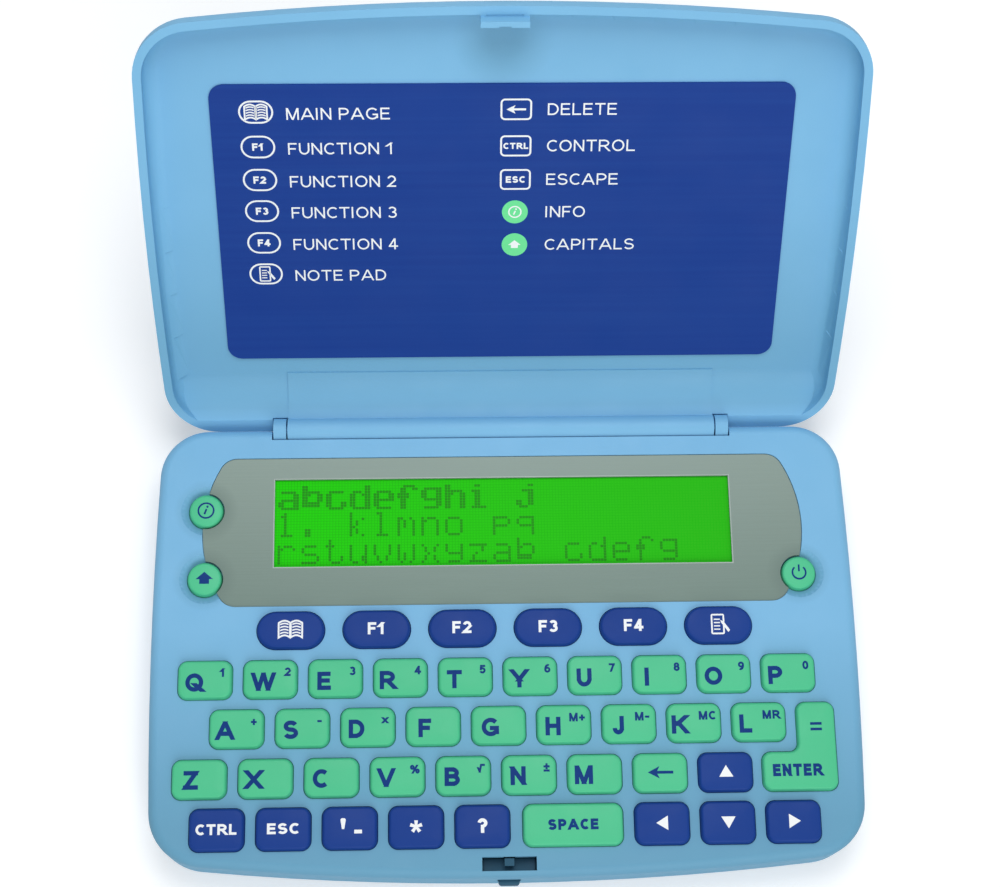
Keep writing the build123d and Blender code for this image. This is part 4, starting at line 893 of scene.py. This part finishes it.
def make_cap(cap, slot):
    """Key: contact pill, then flange, walls, rounded rim and crowned top as one stack of rings."""
    turn = np.linspace(0, math.pi / 2, 7)
    insets = np.concatenate([KEY_EDGE * (1 - np.cos(turn)), np.linspace(KEY_EDGE, CROWN_REACH, 6)[1:]])
    pill = stack([cap.pill(cap.low), cap.pill(FLANGE_UNDER + PILL_SUNK)])
    rings = [
        cap.ring(-FLANGE_RIM, FLANGE_UNDER),
        cap.ring(-FLANGE_RIM, FLANGE_TOP),
        cap.ring(-SKIRT_FLARE, FLANGE_TOP),
        cap.ring(-SKIRT_FLARE, DECK - DISH_DEPTH if cap.round else DECK),
    ]
    rings += [cap.ring(inset, cap_height(inset, cap.top)) for inset in insets]
    piece = add_piece("cap_" + cap.key, merge([pill, stack(rings)]), "key_" + cap.key, slot)
    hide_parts("key_" + cap.key)


def print_on_cap(cap, sign, slot):
    """Lay a sign on a cap so that it follows the crown."""
    points, faces = sign
    depth = np.where(points[:, 2] > 0, PRINT_PROUD, PRINT_SUNK) * points[:, 2]
    height = cap.surface(points[:, 0], points[:, 1]) + depth
    add_piece("legend_" + cap.key, (cap.at_key(points[:, :2], height), faces), "key_" + cap.key, slot)


SECOND = dict(zip("qwertyuiop", "1234567890"))
SECOND.update(a="+", s="-", d="x", h="M+", j="M-", k="MC", l="MR", v="%", b="√", n="±")


def letter_sign(key):
    """Capital at the left of the key and its second sign, small, at the upper right."""
    drop = next(drop for row, drop in LETTER_DROP.items() if key in row)
    parts = [moved(lettering(key.upper(), LETTER_HEIGHT), LETTER_SHIFT.get(key, USUAL_SHIFT), drop)]
    if key in SECOND:
        side, above = SECOND_SHIFT
        side -= SECOND_WIDTH * (len(SECOND[key]) - 1)
        parts.append(moved(lettering(SECOND[key], SECOND_HEIGHT), side, above))
    return merge(parts)


def quote_sign():
    """Tapered apostrophe at the left and a short dash at the right."""
    right = [(0.22, -1.0), (0.5, 0.75), (0.3, 1.0)]
    drop = prism([*right, *[(-x, y) for x, y in right[::-1]]])
    return merge([moved(drop, -1.2, 0.75), moved(prism(box_corners(0.72, 0.34)), 1.6, -0.75)])


def star_sign(size):
    """Asterisk: five spokes that widen outward."""
    spoke = np.array([(-0.09, 0.0), (0.09, 0.0), (0.15, 0.5), (-0.15, 0.5)]) * size
    parts = [moved(prism(spoke), turn=math.radians(72 * number)) for number in range(5)]
    for number, (points, _) in enumerate(parts):
        points[:, 2] *= 1 + 0.1 * number
    return merge(parts)


DARK_SIGNS = {key: letter_sign(key) for key in "qwertyuiopasdfghjklzxcvbnm"}
ENTER_WORD = moved(lettering("ENTER", 2.3, 0.27, width=9.8), -0.4, 0.1)
DARK_SIGNS.update(
    info=info_sign(1.5),
    shift=shift_sign(3.4),
    power=power_sign(1.3),
    space=lettering("SPACE", WORD_HEIGHT, 0.27, width=9.4),
    back=arrow_left(4.8),
    enter=merge([ENTER_WORD, moved(lettering("=", 3.3, 0.15), 3.4, 8.4)]),
)
WHITE_SIGNS = {"f" + number: lettering("F" + number, FUNCTION_HEIGHT, 0.22) for number in "1234"}
WHITE_SIGNS.update(
    book=book_sign(4.5),
    notes=notes_sign(3.7),
    ctrl=lettering("CTRL", WORD_HEIGHT, 0.23, width=7.6),
    esc=lettering("ESC", WORD_HEIGHT, 0.23, width=5.9),
    quote=quote_sign(),
    star=star_sign(2.3),
    query=lettering("?", 2.7),
)
for number, key in enumerate(("up", "left", "down", "right")):
    WHITE_SIGNS[key] = moved(triangle(ARROW_HEIGHT), turn=number * math.pi / 2)

for node, slot in SLOTS.items():
    if node.startswith("key_"):
        cap = Cap(node.removeprefix("key_"))
        make_cap(cap, slot)
        if cap.key in DARK_SIGNS:
            print_on_cap(cap, DARK_SIGNS[cap.key], "print_dark")
        else:
            print_on_cap(cap, WHITE_SIGNS[cap.key], "print_white")

# ---------------- display
VIEW_WIDTH = 89.5
VIEW_DEPTH = 17.7
VIEW_FORWARD = 10.5
GLASS_TOP = 12.1
DOT_PROUD = 0.01
RIM_OUTSIDE = 0.12  # middle of the window's painted highlight line, outside the window
RIM_WIDTH = 0.22
RIM_PROUD = 0.03
DOT_FILL = 0.86  # dark share of a dot's pitch
CELL_DOTS = (8, 10)  # dots across and down for one letter
FIRST_DOT = (1, 2)
# Rows of small letters, seven rows of five dots, two figures a row
DOT_ROWS = {
    "a": "00000E010F110F",
    "b": "10101619111E00",
    "c": "00000E1010110E",
    "d": "01010D1311110F",
    "e": "00000E111F100E",
    "f": "0609081C080808",
    "g": "000F11110F010E",
    "h": "10101619111111",
    "i": "04000C0404040E",
    "j": "0200060202120C",
    "k": "10101214181412",
    "l": "0C04040404040E",
    "m": "00001A15151111",
    "n": "00001619111111",
    "o": "00000E1111110E",
    "p": "00001E111E1010",
    "q": "00000F110F0101",
    "r": "00001619101010",
    "s": "00000E100E011E",
    "t": "08081C08080906",
    "u": "0000111111130D",
    "v": "00001111110A04",
    "w": "0000111115150A",
    "x": "0000110A040A11",
    "y": "000011110F010E",
    "z": "00001F0204081F",
    "1": "040C040404040E",
    ".": "00000000000C0C",
}
TALL_ROWS = [0, 1, 2, 3, 3, 4, 5, 5, 6]  # stretches seven rows to nine
LATE_ROWS = [0, 1, 2, 3, 4, 4, 5, 5, 6]  # for letters whose bow starts higher
LATE_LETTERS = "bdhmnr"
WIDE_COLUMNS = [0, 1, 2, 2, 3, 4]
DISPLAY_LINES = (("abcdefghi j", True), ("1. klmno pq", False), ("rstuvwxyzab cdefg", False))


def letter_dots(letter, bold):
    """Columns and rows of a letter's dark dots; a bold one is doubled to the right."""
    rows = np.array([int(DOT_ROWS[letter][2 * row : 2 * row + 2], 16) for row in range(7)])
    lit = (rows[:, None] >> np.arange(4, -1, -1)) & 1
    lit = lit[LATE_ROWS if letter in LATE_LETTERS else TALL_ROWS][:, WIDE_COLUMNS]
    lit[:, 3] &= lit[:, 4]  # a lone middle dot stays single
    if bold:
        wider = np.pad(lit, ((0, 0), (0, 1)))
        lit = wider | np.roll(wider, 1, axis=1)
    down, across = np.nonzero(lit)
    return np.stack([across, down], -1)


def add_display_dots():
    """Dark dots of three lines of letters, each a low square block on the display's grid."""
    spots = [
        letter_dots(letter, bold) + FIRST_DOT + np.array([place, line]) * CELL_DOTS
        for line, (words, bold) in enumerate(DISPLAY_LINES)
        for place, letter in enumerate(words)
        if letter != " "
    ]
    spots = (np.concatenate(spots) + 0.5) * (DOT_WIDTH, -DOT_DEPTH)
    spots += (-VIEW_WIDTH / 2, REAR_Y - VIEW_FORWARD)
    block, faces = prism(box_corners(DOT_WIDTH * DOT_FILL / 2, DOT_DEPTH * DOT_FILL / 2))
    block = block * (1, 1, DOT_PROUD) + (0, 0, GLASS_TOP)
    dots = merge([(block + (x, y, 0), faces) for x, y in spots])
    add_piece("display_dots", dots, "base", "display_dots")


def add_window_highlight():
    """Line round the plate's window, raised by a hair, its lighter colour a painted highlight of the window's lit
    edge: a rectangle carried round it.
    """
    half = np.array([VIEW_WIDTH, VIEW_DEPTH]) / 2 + RIM_OUTSIDE
    path = box_corners(*half, 0, REAR_Y - VIEW_FORWARD - VIEW_DEPTH / 2)
    points, faces = band(path, RIM_WIDTH, closed=True)
    points[:, 2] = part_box("display_plate")[1].z / MM + RIM_PROUD * points[:, 2]
    add_piece("window_highlight_rim", (points, faces), "base", "plate", WINDOW_HIGHLIGHT)


add_display_dots()
add_window_highlight()

# ---------------- catch slot
TRAY_HEIGHTS = (9.2, 10.4)
TRAY = (4.9, 1.15, 0, -41.5)  # half width and depth, then its middle
TRAY_CORNER = 0.3
BACKING = (3.3, 0.65, 0, 87.05)  # the same, along the lid
BACKING_HEIGHTS = (5.6, 1.75)  # outward


def add_latch_tray():
    """Plain tray on the latch, seen at the bottom of the catch slot: a box with soft corners."""
    plan = rounded(box_corners(*TRAY), TRAY_CORNER)
    rings = [at_height(plan, level) for level in TRAY_HEIGHTS]
    add_piece("latch_tray", stack(rings), "latch_button", "latch")


def add_catch_backing():
    """Low wall in the gap between the catch and the rim, from strut to strut: a plain box."""
    x, along = box_corners(*BACKING).T
    rings = [lid_place(x, along, level) for level in BACKING_HEIGHTS]
    add_piece("catch_backing", stack(rings), "lid", "case")


add_latch_tray()
add_catch_backing()

# ---------------- printed card in the lid
CARD_FACE = 6.0  # outward from the hinge axis
CARD_PROUD = 0.012
OUTLINE = 0.34  # printed outlines
CAPTION_HEIGHT = 2.35
PILL_PICTURE = (6.4, 4.6, 2.12)  # width, height and corner of a key's outline
KEY_PICTURE = (5.8, 4.3, 0.7)
DISC_RADIUS = 2.45
LEFT_SIGN = -45.35
RIGHT_SIGN = 2.4
LEFT_CAPTION = -39.8
RIGHT_CAPTION = 8.2
LEFT_DROP = 0.4  # captions below their signs' middles
LEFT_ROWS = {
    "MAIN PAGE": (66.5, book_sign(4.1)),
    "FUNCTION 1": (59.45, lettering("F1", 1.5)),
    "FUNCTION 2": (52.65, lettering("F2", 1.5)),
    "FUNCTION 3": (46.1, lettering("F3", 1.5)),
    "FUNCTION 4": (39.3, lettering("F4", 1.5)),
    "NOTE PAD": (32.5, notes_sign(3.1)),
}
RIGHT_ROWS = {
    "DELETE": (66.8, arrow_left(3.6)),
    "CONTROL": (59.4, lettering("CTRL", 1.25)),
    "ESCAPE": (52.45, lettering("ESC", 1.35)),
    "INFO": (45.6, info_sign(1.15)),
    "CAPITALS": (38.55, shift_sign(2.4)),
}
ON_DISCS = ("INFO", "CAPITALS")


def key_picture(width, height, corner):
    """Printed outline of a key."""
    corners = box_corners((width - OUTLINE) / 2, (height - OUTLINE) / 2)
    return band(rounded(corners, corner), OUTLINE, closed=True)


def raised(sign):
    """A sign whose printed face lies twice as high, above a disc's."""
    points, faces = sign
    return at_height(points[:, :2], points[:, 2] * np.where(points[:, 2] > 0, 2, 1)), faces


def print_on_card(name, sign, slot):
    """Lay a sign on the card: x to the right, y along the lid."""
    points, faces = sign
    height = np.where(points[:, 2] > 0, CARD_PROUD, PRINT_SUNK) * points[:, 2]
    add_piece(name, (lid_place(points[:, 0], points[:, 1], CARD_FACE - height), faces), "lid", slot)


def caption(words, x, y):
    """Thin capitals that start at x, with their middle at y."""
    sign = lettering(words, CAPTION_HEIGHT, REGULAR)
    return moved(sign, x - sign[0][:, 0].min(), y)


def add_card_prints():
    """Two columns of key pictures, each with its caption, as the card's printing."""
    for number, (words, (row, picture)) in enumerate(LEFT_ROWS.items(), 1):
        signs = [moved(sign, LEFT_SIGN, row) for sign in (key_picture(*PILL_PICTURE), picture)]
        signs.append(caption(words, LEFT_CAPTION, row - LEFT_DROP))
        print_on_card(f"card_line_{number}", merge(signs), "print_white")
    for number, (words, (row, picture)) in enumerate(RIGHT_ROWS.items(), 1 + len(LEFT_ROWS)):
        if words in ON_DISCS:
            disc = prism(circle(DISC_RADIUS, steps=48))
            print_on_card(f"card_disc_{number}", moved(disc, RIGHT_SIGN, row), "print_green")
            signs = [moved(raised(picture), RIGHT_SIGN, row)]
        else:
            signs = [moved(sign, RIGHT_SIGN, row) for sign in (key_picture(*KEY_PICTURE), picture)]
        signs.append(caption(words, RIGHT_CAPTION, row))
        print_on_card(f"card_line_{number}", merge(signs), "print_white")


add_card_prints()

# ---------------- camera
CAMERA_PLACE = np.array([-11.982, -81.893, 397.868])
CAMERA_FORWARD = np.array([0.028879, 0.303268, -0.952468])
CAMERA_UP = np.array([0.009754, 0.952734, 0.303649])
CAMERA_LENS = 73.24


def add_camera():
    """Camera at its place, looking forward with the given upward side."""
    lens = bpy.data.cameras.new("camera")
    lens.lens = CAMERA_LENS
    lens.sensor_width = 36
    lens.sensor_fit = "HORIZONTAL"
    lens.clip_start = 0.01
    camera = bpy.data.objects.new("camera", lens)
    back = Vector(-CAMERA_FORWARD).normalized()
    right = Vector(CAMERA_UP).cross(back).normalized()
    turned = Matrix((right, back.cross(right), back)).transposed().to_4x4()
    camera.matrix_world = Matrix.Translation(Vector(CAMERA_PLACE * MM)) @ turned
    bpy.context.scene.collection.objects.link(camera)
    bpy.context.scene.camera = camera


add_camera()
bpy.context.scene.view_settings.view_transform = "Standard"


# ---------------- floor and light
FLOOR_HALF = 3.0  # metres
FLOOR_FADE = (220, 700)  # the floor fades to white between these distances


def add_floor():
    """Pale floor that takes the object's shadow and fades to white far from it."""
    made = Finish("floor_white", (236, 238, 240), 0.75)
    made.paint("Base Color", made.blend(made.clouds(3), (233, 235, 237), (238, 240, 242)))
    path = made.nodes.new("ShaderNodeLightPath")
    made.shader.inputs["Emission Color"].default_value = linear(255, 255, 255)
    glow = made.fit(made.nearness([(0, 0, 0)], *FLOOR_FADE), 0.0, 1.0, 1.0, 0.3)
    made.paint("Emission Strength", made.calculate("MULTIPLY", path.outputs["Is Camera Ray"], glow))
    mesh = bpy.data.meshes.new("floor")
    mesh.from_pydata(at_height(box_corners(FLOOR_HALF, FLOOR_HALF), 0).tolist(), [], [(0, 1, 2, 3)])
    mesh.materials.append(made.material)
    floor = bpy.data.objects.new("floor", mesh)
    bpy.context.scene.collection.objects.link(floor)


def add_world(fill):
    """Even white surround: full white where it is seen or mirrored, weaker as light."""
    world = bpy.data.worlds.new("surround")
    bpy.context.scene.world = world
    world.use_nodes = True
    nodes, links = world.node_tree.nodes, world.node_tree.links
    path = nodes.new("ShaderNodeLightPath")
    seen = path.outputs["Is Camera Ray"]
    for ray in ("Is Glossy Ray", "Is Transmission Ray"):
        either = nodes.new("ShaderNodeMath")
        either.operation = "MAXIMUM"
        links.new(seen, either.inputs[0])
        links.new(path.outputs[ray], either.inputs[1])
        seen = either.outputs[0]
    strength = nodes.new("ShaderNodeMapRange")
    strength.inputs["To Min"].default_value = fill
    strength.inputs["To Max"].default_value = 1.0
    links.new(seen, strength.inputs["Value"])
    background = nodes["Background"]
    background.inputs["Color"].default_value = (1, 1, 1, 1)
    links.new(strength.outputs["Result"], background.inputs["Strength"])


def add_softbox(name, place, aim, size, level):
    """Square lamp that adds a level of plain white at the aim: level * (pi * distance) ** 2 watts."""
    lamp = bpy.data.lights.new(name, "AREA")
    lamp.size = size
    distance = (Vector(place) - Vector(aim)).length
    lamp.energy = level * (math.pi * distance) ** 2
    holder = bpy.data.objects.new(name, lamp)
    direction = Vector(aim) - Vector(place)
    holder.rotation_euler = direction.to_track_quat("-Z", "Y").to_euler()
    holder.location = place
    bpy.context.scene.collection.objects.link(holder)


add_floor()
add_world(fill=0.42)
add_softbox("rear_lamp", (0.01, 0.13, 0.42), aim=(0, 0.02, 0.02), size=0.24, level=0.46)
add_softbox("front_lamp", (0.1, -0.6, 0.42), aim=(0, 0.06, 0.05), size=0.5, level=0.38)
